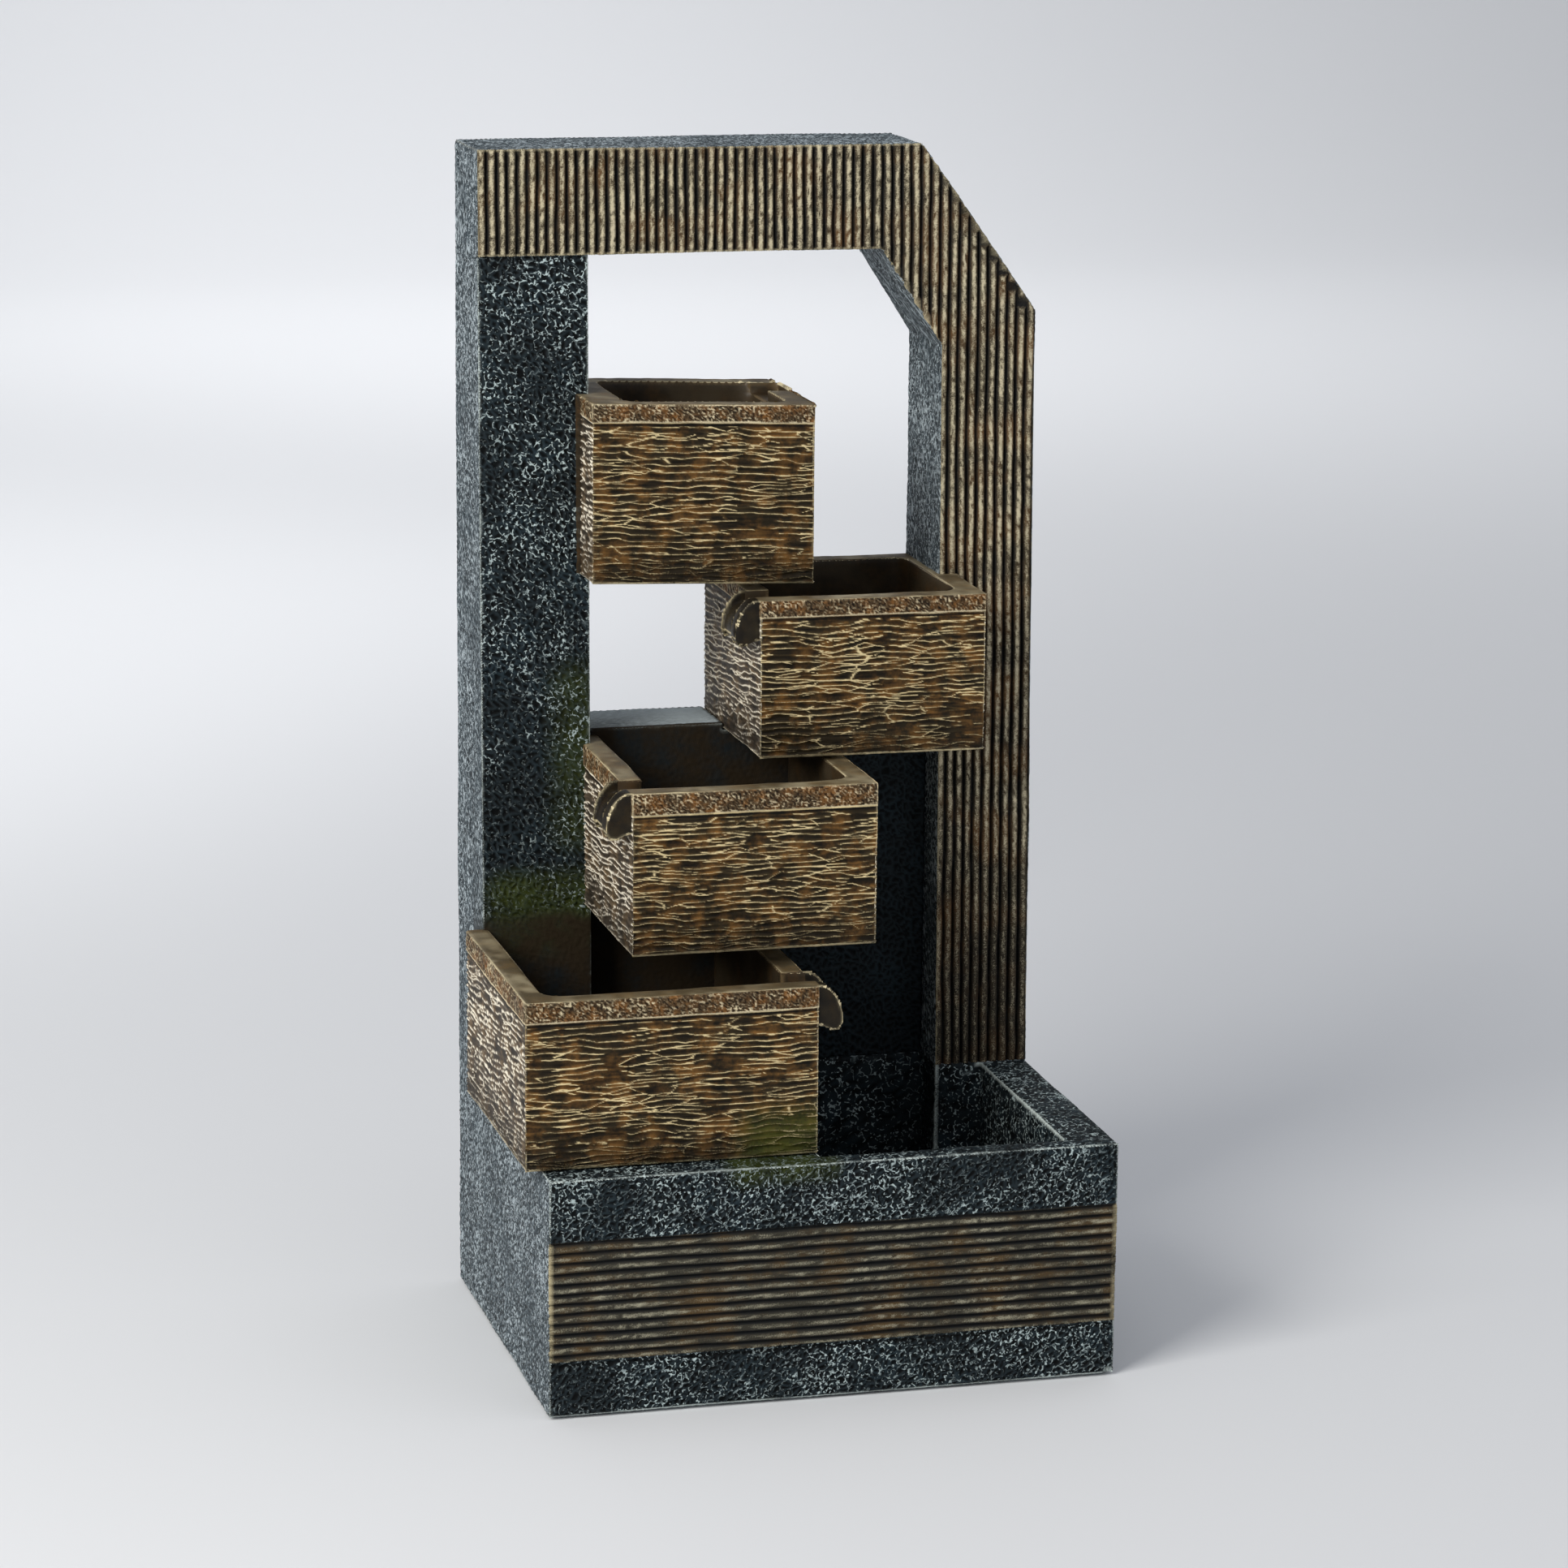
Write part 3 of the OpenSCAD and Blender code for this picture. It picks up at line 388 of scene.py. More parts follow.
# Turns a low solid into a finished casting.
# kinds: name -> (grid goal in x, y, z or None where it is hidden, material name)
# kindOf(centre, normal) names a face's kind; reliefOf(kind, points) gives its surface
def sculpt(solid, name, kinds, kindOf, reliefOf, steps, edgeRound=1.1, mossOf=None, settle=None,
           bareOf=None):
    names = list(kinds)
    bm = bmesh.new()
    bm.from_mesh(solid.data)
    sliceSolid(bm, steps)
    for face in bm.faces:
        face.material_index = names.index(kindOf(face.calc_center_median(), face.normal))
    refineSolid(bm, [kinds[n][0] for n in names])
    bmesh.ops.triangulate(bm, faces=[f for f in bm.faces if len(f.verts) > 4])
    mesh = bpy.data.meshes.new(name)
    bm.to_mesh(mesh)
    bm.free()
    bpy.data.objects.remove(solid)

    points = np.empty(len(mesh.vertices) * 3, np.float32)
    mesh.vertices.foreach_get("co", points)
    points = points.reshape(-1, 3).astype(np.float64)
    faceCount = len(mesh.polygons)
    faceKind = np.empty(faceCount, np.int32)
    faceArea = np.empty(faceCount, np.float32)
    faceNormal = np.empty(faceCount * 3, np.float32)
    sides = np.empty(faceCount, np.int32)
    mesh.polygons.foreach_get("material_index", faceKind)
    mesh.polygons.foreach_get("area", faceArea)
    mesh.polygons.foreach_get("normal", faceNormal)
    mesh.polygons.foreach_get("loop_total", sides)
    faceNormal = faceNormal.reshape(-1, 3)
    loopVertex = np.empty(len(mesh.loops), np.int32)
    loopEdge = np.empty(len(mesh.loops), np.int32)
    mesh.loops.foreach_get("vertex_index", loopVertex)
    mesh.loops.foreach_get("edge_index", loopEdge)
    loopFace = np.repeat(np.arange(faceCount), sides)
    hidden = np.array([kinds[n][0] is None for n in names])
    shown = ~hidden[faceKind]

    # Which way each shown vertex faces, and how much of each kind meets there
    count = len(points)
    share = faceArea[loopFace] * shown[loopFace] + 0.0
    normal = np.stack([np.bincount(loopVertex, share * faceNormal[loopFace, a], count) for a in range(3)], 1)
    length = np.linalg.norm(normal, axis=1)
    normal[length > 0] /= length[length > 0, None]
    normal[length == 0] = 0
    whole = np.bincount(loopVertex, share, count)

    # Outer corners between shown faces, for rounding and wear
    edgeCount = len(mesh.edges)
    order = np.argsort(loopEdge, kind="stable")
    pair = order[:-1][loopEdge[order[:-1]] == loopEdge[order[1:]]]
    mate = order[1:][loopEdge[order[:-1]] == loopEdge[order[1:]]]
    faceA, faceB = loopFace[pair], loopFace[mate]
    centre = np.stack([np.bincount(loopFace, points[loopVertex, a], faceCount) / sides for a in range(3)], 1)
    turned = (faceNormal[faceA] * faceNormal[faceB]).sum(1) < 0.86
    outer = ((centre[faceB] - centre[faceA]) * faceNormal[faceA]).sum(1) < 0
    corner = np.unique(loopEdge[pair[turned & outer & shown[faceA] & shown[faceB]]])
    ends = np.empty(edgeCount * 2, np.int32)
    mesh.edges.foreach_get("vertices", ends)
    ends = ends.reshape(-1, 2)[corner]
    distance = np.full(count, 50.0)
    if len(corner):
        along = np.concatenate([points[ends[:, 0]] * (1 - t) + points[ends[:, 1]] * t for t in (0, 0.33, 0.67)]
                               + [points[ends[:, 1]]])
        tree = KDTree(len(along))
        for i, place in enumerate(along.tolist()):
            tree.insert(place, i)
        tree.balance()
        for i in np.flatnonzero(length > 0):
            distance[i] = tree.find(points[i])[2]

    height = np.zeros(count)
    crest = np.zeros(count)
    hollow = np.zeros(count)
    for index, kind in enumerate(names):
        if kinds[kind][0] is None:
            continue
        here = np.bincount(loopVertex, share * (faceKind[loopFace] == index), count)
        touched = np.flatnonzero(here > 0)
        if not len(touched):
            continue
        part = here[touched] / whole[touched]
        surface = reliefOf(kind, points[touched])
        for total, value in zip((height, crest, hollow), surface):
            total[touched] += part * value
    x, y, z = points.T
    moss = mossOf(points) if mossOf else np.zeros(count)
    bare = bareOf(points) if bareOf else np.zeros(count)  # smooth paint over the relief
    height, crest, hollow = height * (1 - 0.75 * bare), crest * (1 - bare), hollow * (1 - 0.8 * bare)
    soften = ease(0.0, 1.6, distance)
    handWork = noise(901, x / 16.0, y / 16.0, z / 16.0)
    radius = edgeRound * (1.0 + 0.45 * handWork)
    rounding = 0.293 * radius * np.clip(1 - distance / radius, 0, 1) ** 2 * np.abs(normal).sum(1)
    wobble = 0.22 * (noise(902, x / 27.0, y / 27.0, z / 27.0) - 1)
    wobble += 0.10 * (noise(903, x / 6.0, y / 6.0, z / 6.0) - 1) * (1 - soften)
    shift = (height * (0.35 + 0.65 * soften) - rounding + wobble) * (length > 0)
    moved = points + normal * shift[:, None]
    if settle is not None:
        moved = settle(moved)
    mesh.vertices.foreach_set("co", (moved * metre).astype(np.float32).ravel())

    wear = np.exp(-(distance / (0.55 + 0.35 * noise(904, x / 4.0, y / 4.0, z / 4.0))) ** 2)
    for label, values in (("crest", crest), ("hollow", hollow), ("wear", wear), ("moss", moss), ("bare", bare)):
        layer = mesh.attributes.new(label, "FLOAT", "POINT")
        layer.data.foreach_set("value", values.astype(np.float32))

    slots = sorted({kinds[n][1] for n in names})
    for slot in slots:
        mesh.materials.append(finishes[slot])
    slotOf = np.array([slots.index(kinds[n][1]) for n in names], np.int32)
    mesh.polygons.foreach_set("material_index", slotOf[faceKind])
    mesh.shade_smooth()
    mesh.set_sharp_from_angle(angle=math.radians(55))
    mesh.update()
    piece = bpy.data.objects.new(name, mesh)
    bpy.context.scene.collection.objects.link(piece)
    triangles = int((sides - 2).sum())
    print(name, "sculpted:", triangles, "triangles")
    return piece


def standsFor(piece, slot, *nodes):
    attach(piece, "casting")
    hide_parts(*nodes)


# ---------- finishes of the castings ----------

# All castings are stone-filled polyester resin, painted dark and dry-brushed light, so the eye
# sees dark hollows (dark paint with painted shade on top), coloured flanks, pale crests and rubbed edges.
# patch is the size of the brushed clouds and grain that of the grit, in millimetres
castLooks = {
    "hammeredStone": {  # blue-black paint, pale grey-green flecks on the crests
        "deep": "#040607", "body": "#20282C", "tint": "#26353D", "crest": "#BCCCCC", "rub": "#CCD7D3",
        "patch": 24, "grain": 0.5, "crestFrom": 0.22, "crestTo": 0.95, "cloud": 0.8, "grit": 0.3,
        "tintAmount": 0.5, "rubAmount": 1.0, "rough": 0.6, "sheen": 0.12, "bump": 0.25, "fleck": 0.9, "fleckSize": 3.2, "onCrest": 0.55,
    },
    "grainedStone": {  # the same paint brushed nearly all over, so it looks grey
        "deep": "#181E21", "body": "#414B51", "tint": "#48545B", "crest": "#AEB9BE", "rub": "#A5A69C",
        "patch": 30, "grain": 0.5, "crestFrom": 0.0, "crestTo": 0.75, "cloud": 0.6, "grit": 0.5,
        "tintAmount": 0.6, "rubAmount": 0.4, "rough": 0.66, "sheen": 0.15, "bump": 0.25, "fleck": 0.85, "fleckSize": 2.2, "onCrest": 1.0,
    },
    "bronzeFlutes": {  # antique bronze paint over navy, cream on the crowns
        "deep": "#050607", "body": "#3F3626", "tint": "#76512A", "crest": "#D2C6A6", "rub": "#DCCFA9",
        "patch": 34, "grain": 0.42, "crestFrom": 0.15, "crestTo": 1.0, "cloud": 0.6, "grit": 1.7,
        "tintAmount": 0.55, "rubAmount": 0.5, "rough": 0.52, "sheen": 0.18, "bump": 0.5, "fleck": 0, "onCrest": 1.0,
    },
    "agedFlutes": {  # the same in the base band, dirtier and bluer in the grooves
        "deep": "#0A0D0F", "body": "#38352C", "tint": "#60461F", "crest": "#ADA890", "rub": "#CDBF98",
        "patch": 26, "grain": 0.42, "crestFrom": 0.22, "crestTo": 1.1, "cloud": 0.7, "grit": 1.4,
        "tintAmount": 0.6, "rubAmount": 0.8, "rough": 0.55, "sheen": 0.18, "bump": 0.5, "fleck": 0, "onCrest": 1.0,
    },
    "barkFace": {  # brown-black gouges, ochre and rust flanks, cream crests
        "deep": "#080502", "body": "#3E331F", "tint": "#8C6230", "crest": "#DFCB9B", "rub": "#E9D8AC",
        "patch": 13, "grain": 0.5, "crestFrom": 0.12, "crestTo": 0.78, "cloud": 0.75, "grit": 0.7,
        "tintAmount": 0.85, "rubAmount": 0.75, "rough": 0.5, "sheen": 0.16, "bump": 0.4, "fleck": 0, "onCrest": 1.0,
    },
    "barkSide": {  # the same, brushed greyer
        "deep": "#0F0B07", "body": "#62574A", "tint": "#96784F", "crest": "#F2E9D4", "rub": "#F6ECD2",
        "patch": 15, "grain": 0.5, "crestFrom": 0.05, "crestTo": 0.62, "cloud": 0.5, "grit": 0.7,
        "tintAmount": 0.5, "rubAmount": 0.75, "rough": 0.55, "sheen": 0.16, "bump": 0.4, "fleck": 0, "onCrest": 1.0,
    },
    "pittedBand": {  # speckled brown band under the rim
        "deep": "#0E0803", "body": "#54412A", "tint": "#A0682C", "crest": "#E6D6B0", "rub": "#F4E4BC",
        "patch": 10, "grain": 0.36, "crestFrom": 0.15, "crestTo": 1.0, "cloud": 0.7, "grit": 1.6,
        "tintAmount": 0.6, "rubAmount": 0.75, "rough": 0.55, "sheen": 0.16, "bump": 0.6, "fleck": 0, "onCrest": 1.0,
    },
    "bowlInside": {  # smooth dark umber, a little sheen
        "deep": "#15110B", "body": "#3A3022", "tint": "#5A4022", "crest": "#453B2C", "rub": "#8A7350",
        "patch": 14, "grain": 0.5, "crestFrom": 0.4, "crestTo": 1.0, "cloud": 0.5, "grit": 0.4,
        "tintAmount": 0.5, "rubAmount": 0.5, "rough": 0.40, "sheen": 0.3, "bump": 0.12, "fleck": 0, "onCrest": 1.0,
    },
    "lipFace": {  # dark umber paint, made darker than the inside as painted shade for the front-facing lip, with cream along its curved edges
        "deep": "#080604", "body": "#1A150E", "tint": "#33260F", "crest": "#2E2718", "rub": "#E6D6AC",
        "patch": 9, "grain": 0.4, "crestFrom": 0.4, "crestTo": 1.0, "cloud": 0.6, "grit": 0.5,
        "tintAmount": 0.6, "rubAmount": 1.0, "rough": 0.45, "sheen": 0.2, "bump": 0.25, "fleck": 0, "onCrest": 1.0,
    },
    "bowlRim": {  # taupe, wiped smooth
        "deep": "#3A3122", "body": "#64573F", "tint": "#7F6237", "crest": "#9C9074", "rub": "#EADBB2",
        "patch": 14, "grain": 0.4, "crestFrom": 0.3, "crestTo": 1.1, "cloud": 0.6, "grit": 0.6,
        "tintAmount": 0.5, "rubAmount": 1.0, "rough": 0.52, "sheen": 0.2, "bump": 0.25, "fleck": 0, "onCrest": 1.0,
    },
}


castLooks["shadedStone"] = dict(castLooks["hammeredStone"], fleck=0.16, crest="#4A5253")  # painted shade: the hammered stone with few, dark flecks, for the panel face that stands in shade


def castFinish(name, look):
    finish = bpy.data.materials.new(name)
    finish.use_nodes = True
    tree = finish.node_tree
    shader = tree.nodes["Principled BSDF"]
    place = addNode(tree, "ShaderNodeTexCoord").outputs["Object"]
    level = {label: addNode(tree, "ShaderNodeAttribute", attribute_name=label).outputs["Fac"]
             for label in ("crest", "hollow", "wear", "moss", "bare")}

    def grainOf(size, detail, roughness):
        return addNode(tree, "ShaderNodeTexNoise", {"Vector": place, "Scale": 1 / (size * metre),
                                                    "Detail": detail, "Roughness": roughness}).outputs["Fac"]

    def ramp(value, low, high, top=1.0):
        return addNode(tree, "ShaderNodeMapRange", {"Value": value, "From Min": low, "From Max": high,
                                                    "To Max": top}, interpolation_type="SMOOTHSTEP").outputs[0]

    def combined(how, first, second):
        return addNode(tree, "ShaderNodeMath", {0: first, 1: second}, operation=how).outputs[0]

    cloud = grainOf(look["patch"], 3.0, 0.6)
    stain = grainOf(look["patch"] * 0.55, 4.0, 0.65)
    grit = grainOf(look["grain"], 3.0, 0.7)
    # The dry brush catches the crests, more in some clouds than in others, and breaks up on the grit
    brushed = combined("MULTIPLY", combined("MULTIPLY", level["crest"], look["onCrest"]),
                       combined("ADD", 1 - look["cloud"], combined("MULTIPLY", cloud, 2 * look["cloud"])))
    brushed = combined("ADD", brushed, combined("MULTIPLY", combined("SUBTRACT", grit, 0.5), look["grit"]))
    if look["fleck"]:
        # Thin broken lines between hammer dents, finer than the mesh can carry
        pull = addNode(tree, "ShaderNodeTexNoise", {"Vector": place, "Scale": 1 / (2.4 * metre), "Detail": 1.0})
        moved = addNode(tree, "ShaderNodeVectorMath", {0: pull.outputs["Color"], 1: (0.5, 0.5, 0.5)},
                        operation="SUBTRACT").outputs[0]
        moved = addNode(tree, "ShaderNodeVectorMath", {0: moved, 1: (3.4 * metre,) * 3}, operation="MULTIPLY")
        moved = addNode(tree, "ShaderNodeVectorMath", {0: place, 1: moved.outputs[0]}, operation="ADD")
        net = addNode(tree, "ShaderNodeTexVoronoi", {"Vector": moved.outputs[0],
                                                     "Scale": 1 / (look["fleckSize"] * metre)},
                      feature="DISTANCE_TO_EDGE").outputs["Distance"]
        thin = combined("SUBTRACT", 1.0, ramp(net, 0.015, 0.125))
        broken = ramp(grainOf(1.2, 1.0, 0.5), 0.38, 0.60)
        flecks = combined("MULTIPLY", combined("MULTIPLY", thin, broken), look["fleck"])
        flecks = combined("MULTIPLY", flecks, combined("SUBTRACT", 1.0, level["bare"]))
        flecks = combined("MULTIPLY", flecks, combined("ADD", ramp(cloud, 0.34, 0.64, 0.5), 0.45))
        brushed = combined("MAXIMUM", brushed, flecks)
    clear = combined("SUBTRACT", 1.0, combined("MULTIPLY", level["moss"], 0.35))
    # The hollows keep the deep colour: partly the dark base coat that the dry brush misses, partly painted shade
    # standing in for the shade in the recesses
    layers = [
        (combined("SUBTRACT", 1.0, level["hollow"]), look["body"]),
        (combined("MULTIPLY", ramp(stain, 0.42, 0.72, look["tintAmount"]),
                  combined("SUBTRACT", 1.15, level["hollow"])), look["tint"]),
        (combined("MULTIPLY", level["moss"], ramp(combined("ADD", grit, stain), 0.6, 1.2, 0.8)), "#3E4614"),
        (combined("MULTIPLY", ramp(brushed, look["crestFrom"], look["crestTo"]), clear), look["crest"]),
        (combined("MULTIPLY", level["wear"], ramp(combined("ADD", grit, cloud), 0.68, 1.08, look["rubAmount"])),
         look["rub"]),
        (combined("MULTIPLY", level["bare"], ramp(stain, 0.2, 0.6, 0.97)), "#2E2519"),
    ]
    colour = addNode(tree, "ShaderNodeRGB")
    colour.outputs[0].default_value = linear(look["deep"])
    colour = colour.outputs[0]
    for amount, hexColour in layers:
        colour = addNode(tree, "ShaderNodeMix", {0: amount, 6: colour, 7: linear(hexColour)},
                         data_type="RGBA").outputs[2]
    tree.links.new(colour, shader.inputs["Base Color"])
    tree.links.new(combined("ADD", ramp(grit, 0.2, 0.8, 0.22), look["rough"] - 0.1), shader.inputs["Roughness"])
    lift = addNode(tree, "ShaderNodeBump", {"Height": grit, "Strength": look["bump"], "Distance": 0.0006})
    tree.links.new(lift.outputs[0], shader.inputs["Normal"])
    shader.inputs["Specular IOR Level"].default_value = look["sheen"]
    return finish


finishes = {name: castFinish(name, look) for name, look in castLooks.items()}
print("casting finishes ready:", len(finishes))


# ---------- sizes that the castings share ----------

baseLow, baseHigh = cornersOf("base_basin")
backLow, backHigh = cornersOf("base_back")
archLow, archHigh = cornersOf("ribbed_arch")
columnLow, columnHigh = cornersOf("left_column")
panelLow, panelHigh = cornersOf("back_panel")
sink = 1.6  # how far a casting runs on into its neighbour, out of sight

# The arch and the column lean back: thinner at the top than at the foot
archDepth = archHigh.y - archLow.y
leanPerMm = 9.0 / (archHigh.z - archLow.z)


def leanBack(points):
    moved = points.copy()
    inFront = archHigh.y - points[:, 1]
    moved[:, 1] = archHigh.y - inFront * (1 - leanPerMm * (points[:, 2] - archLow.z) / archDepth)
    return moved


def leaningBlock(low, high):
    block = blockBetween(low, high)
    for vertex in block.data.vertices:
        vertex.co = leanBack(np.array([vertex.co]))[0]
    return block


def nearBox(points, low, high, fade):
    outside = np.maximum(np.maximum(np.array(low) - points, points - np.array(high)), 0)
    return 1 - ease(0, fade, np.linalg.norm(outside, axis=1))


# ---------- column ----------

columnDetail = {"wall": 7.0, "faceGrid": 0.5, "sideGrid": 0.95, "dent": 2.7, "dentDepth": 0.6}
sideDetail = {"dent": 2.0, "dentDepth": 0.4}  # the brushed sides of all the stone castings



def columnKind(centre, normal):
    if abs(normal.z) > 0.5:
        return "hidden"
    if normal.y < -0.5 and centre.y < columnLow.y + 1:
        return "face"
    if abs(normal.x) > 0.5 and (centre.x < columnLow.x + 1 or centre.x > columnHigh.x - 1):
        if centre.x > 0.5 * (columnLow.x + columnHigh.x) and centre.z < panelHigh.z and centre.y > panelLow.y + 2:
            return "hidden"
        return "side"
    return "rear" if normal.y > 0.5 and centre.y > columnHigh.y - 1 else "hidden"


def sideRelief(points, kind="side"):
    x, y, z = points.T
    if kind == "rear":  # the backs are left nearly plain
        height, crest, hollow = smoothed(25, x, z, 0.5)
        return height, 0.5 * crest, hollow
    return hammered(21, x + y, z + 0.5 * (x - y), sideDetail["dent"], sideDetail["dentDepth"])


def columnRelief(kind, points):
    x, y, z = points.T
    if kind == "face":
        return hammered(11, x, z, columnDetail["dent"], columnDetail["dentDepth"], -1)
    return sideRelief(points, kind)


def columnMoss(points):
    x, y, z = points.T
    near = nearBox(points, (columnHigh.x - 6, columnLow.y - 2, 178), (columnHigh.x + 4, columnLow.y + 3, 228), 14)
    low = nearBox(points, (columnLow.x + 8, columnLow.y - 2, 138), (columnHigh.x + 4, columnLow.y + 3, 156), 11)
    return np.clip(np.maximum(near * 0.55, low * 0.8), 0, 1)


# The column and the panel show as smooth dark walls inside the two lower bowls
def insideBowls(points):
    x, y, z = points.T
    total = np.zeros(len(points))
    # bowl, wall and lip to the left and to the right of its inside, how far the paint runs above the rim
    for node, toLeft, toRight, top in (("bottom_bowl", 6, 15, 3.0), ("lower_bowl", 15, 6, 8.0)):
        low, high = cornersOf(node)
        edge = noise(95, x / 6.0, z / 6.0) * 1.6
        within = ease(-1, 1, x - low.x - toLeft) * ease(-1, 1, high.x - toRight - x)
        total = np.maximum(total, within * ease(-3, 3, high.z + top + edge - z) * ease(-1, 1, z - low.z - 3))
    return total * (y < panelLow.y + 2)


def buildColumn():
    detail = columnDetail
    solid = blockBetween(columnLow, columnHigh)
    wall = Vector((detail["wall"], detail["wall"], 0))
    core = blockBetween(Vector(columnLow) + wall - Vector((0, 0, 2)),
                        Vector(columnHigh) - wall - Vector((0, 0, detail["wall"])))
    combine(solid, core, "DIFFERENCE")
    face, side = detail["faceGrid"], detail["sideGrid"]
    kinds = {"hidden": (None, "grainedStone"), "face": ((face, face, face), "hammeredStone"),
             "side": ((side, side, side), "grainedStone"), "rear": ((2.4, 2.4, 2.4), "grainedStone")}
    piece = sculpt(solid, "columnCasting", kinds, columnKind, columnRelief, (3.7, 4.6, 3.7),
                   edgeRound=1.3, mossOf=columnMoss, settle=leanBack, bareOf=insideBowls)
    standsFor(piece, "stone_cast", "left_column")


buildColumn()


# ---------- arch ----------

archDetail = {
    "beam": 37.0, "pillar": 35.0, "cornerCut": (42.0, 59.0), "soffitCut": (22.0, 34.0),
    "flutePitch": 3.5, "fluteDepth": 1.05, "sideGrid": 1.0,
}


def archKind(centre, normal):
    if centre.z < archLow.z + 0.01 and normal.z < -0.5:
        return "hidden"
    if normal.y < -0.5:
        return "flutes"
    if normal.y > 0.5:
        return "rear"
    if normal.z < -0.5 and centre.x < columnHigh.x:  # the seat on the column
        return "hidden" if centre.y > columnLow.y + 0.5 else "side"
    return "side"


def archRelief(kind, points):
    x, y, z = points.T
    if kind == "flutes":
        height, crest, hollow = fluted(31, x - archLow.x, z, archDetail["flutePitch"], archDetail["fluteDepth"])
        shade = 1 - ease(90, 215, z)  # painted shade: the flutes turn darker and less brushed lower down, towards the basin
        return height, crest * (1 - 0.55 * shade), np.maximum(hollow, 0.6 * shade)
    return sideRelief(points, kind)


def buildArch():
    detail = archDetail
    left, right, foot, top = archLow.x, archHigh.x, archLow.z, archHigh.z
    beamZ = top - detail["beam"]
    pillarX = right - detail["pillar"]
    cornerX, cornerZ = detail["cornerCut"]
    soffitX, soffitZ = detail["soffitCut"]
    outline = [(left, beamZ), (left, top), (right - cornerX, top), (right, top - cornerZ), (right, foot),
               (pillarX, foot), (pillarX, beamZ - soffitZ), (pillarX - soffitX, beamZ)]
    solid = prismOf(outline, archLow.y, archHigh.y)
    pitch, side = detail["flutePitch"], detail["sideGrid"]
    kinds = {"hidden": (None, "grainedStone"), "flutes": ((pitch / 8, 2, 1.35), "bronzeFlutes"),
             "side": ((side, side, side), "grainedStone"), "rear": ((2.2, 2.2, 2.2), "grainedStone")}
    piece = sculpt(solid, "archCasting", kinds, archKind, archRelief, (pitch, 3.9, 5.4),
                   edgeRound=1.2, settle=leanBack)
    standsFor(piece, "bronze_cast", "ribbed_arch")


buildArch()


# ---------- base with its basin ----------

baseDetail = {
    "stoneGrid": 0.5, "bandLow": 18.7, "bandPitch": 3.55, "bandFlutes": 12, "bandDepth": 0.85,
    "frontPlaned": 5.0, "sideGrid": 0.95, "basinGrid": 1.9, "dent": 2.35, "dentDepth": 0.8,
}
bandHigh = baseDetail["bandLow"] + baseDetail["bandFlutes"] * baseDetail["bandPitch"]


def baseKind(centre, normal):
    if normal.y < -0.5 and centre.y < baseLow.y + 1:
        return "band" if baseDetail["bandLow"] < centre.z < bandHigh else "face"
    if normal.y > 0.5 and centre.y > backHigh.y - 1:
        return "rear"
    if abs(normal.y) > 0.5 and abs(centre.y - baseHigh.y) < 0.1:  # where the two parts of the base meet
        return "hidden"
    if abs(normal.x) > 0.5 and (centre.x < baseLow.x + 1 or centre.x > baseHigh.x - 1):
        return "side"
    if normal.z > 0.5 and centre.z > baseHigh.z - 1:
        underColumn = centre.x < columnHigh.x and centre.y > columnLow.y
        underArch = centre.y > archLow.y + 0.1 and centre.x > archHigh.x - archDetail["pillar"]
        return "hidden" if underColumn or underArch or centre.y > panelLow.y else "rim"
    inBasin = centre.x > -2 and centre.y < panelLow.y + 1 and centre.y > baseLow.y + 1 and centre.z > baseLow.z + 4
    return "basin" if inBasin else "plain"


def baseRelief(kind, points):
    x, y, z = points.T
    detail = baseDetail
    if kind == "face":
        height, crest, hollow = hammered(41, x, z, detail["dent"], detail["dentDepth"])
        crest = np.minimum(crest * (1.35 + 0.35 * ease(30, 60, z)), 1)
        edge = np.minimum(np.abs(z - detail["bandLow"]), np.abs(z - bandHigh))
        line = 1 - ease(0.2, 1.0, edge)
        return height - 0.5 * line, crest * (1 - line), np.maximum(hollow, line)
    if kind == "band":
        height, crest, hollow = fluted(51, z - detail["bandLow"], x, detail["bandPitch"], detail["bandDepth"])
        return height, crest * 0.8, hollow
    if kind == "basin":
        height, crest, hollow = hammered(45, x + y, z, 2.6, 0.6)
        # painted shade: the basin walls are brushed less towards the bottom, so they darken down into the basin
        return height, crest * (0.15 + 0.85 * ease(50, 84, z)), hollow
    if kind == "rim":
        fade = 1 - ease(archLow.y - 4, archLow.y, y)
        height, crest, hollow = hammered(43, x, y, 1.9, 0.4)
        return height * fade, np.minimum(1.6 * crest, 1), hollow
    if kind == "plain":
        return smoothed(47, x + y, z, 0.05)
    return sideRelief(points, kind)


def baseMoss(points):
    return 0.9 * nearBox(points, (-30, baseLow.y - 2, baseHigh.z - 1.5), (-1, baseLow.y + 11, baseHigh.z + 2), 8)


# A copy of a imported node's mesh, in millimetres, with its loose triangles merged
def meshOf(node):
    bm = bmesh.new()
    bm.from_mesh(cadNodes[node].data)
    bmesh.ops.scale(bm, vec=Vector((1, 1, 1)) / metre, verts=bm.verts)
    bmesh.ops.remove_doubles(bm, verts=bm.verts, dist=0.002)
    return bm


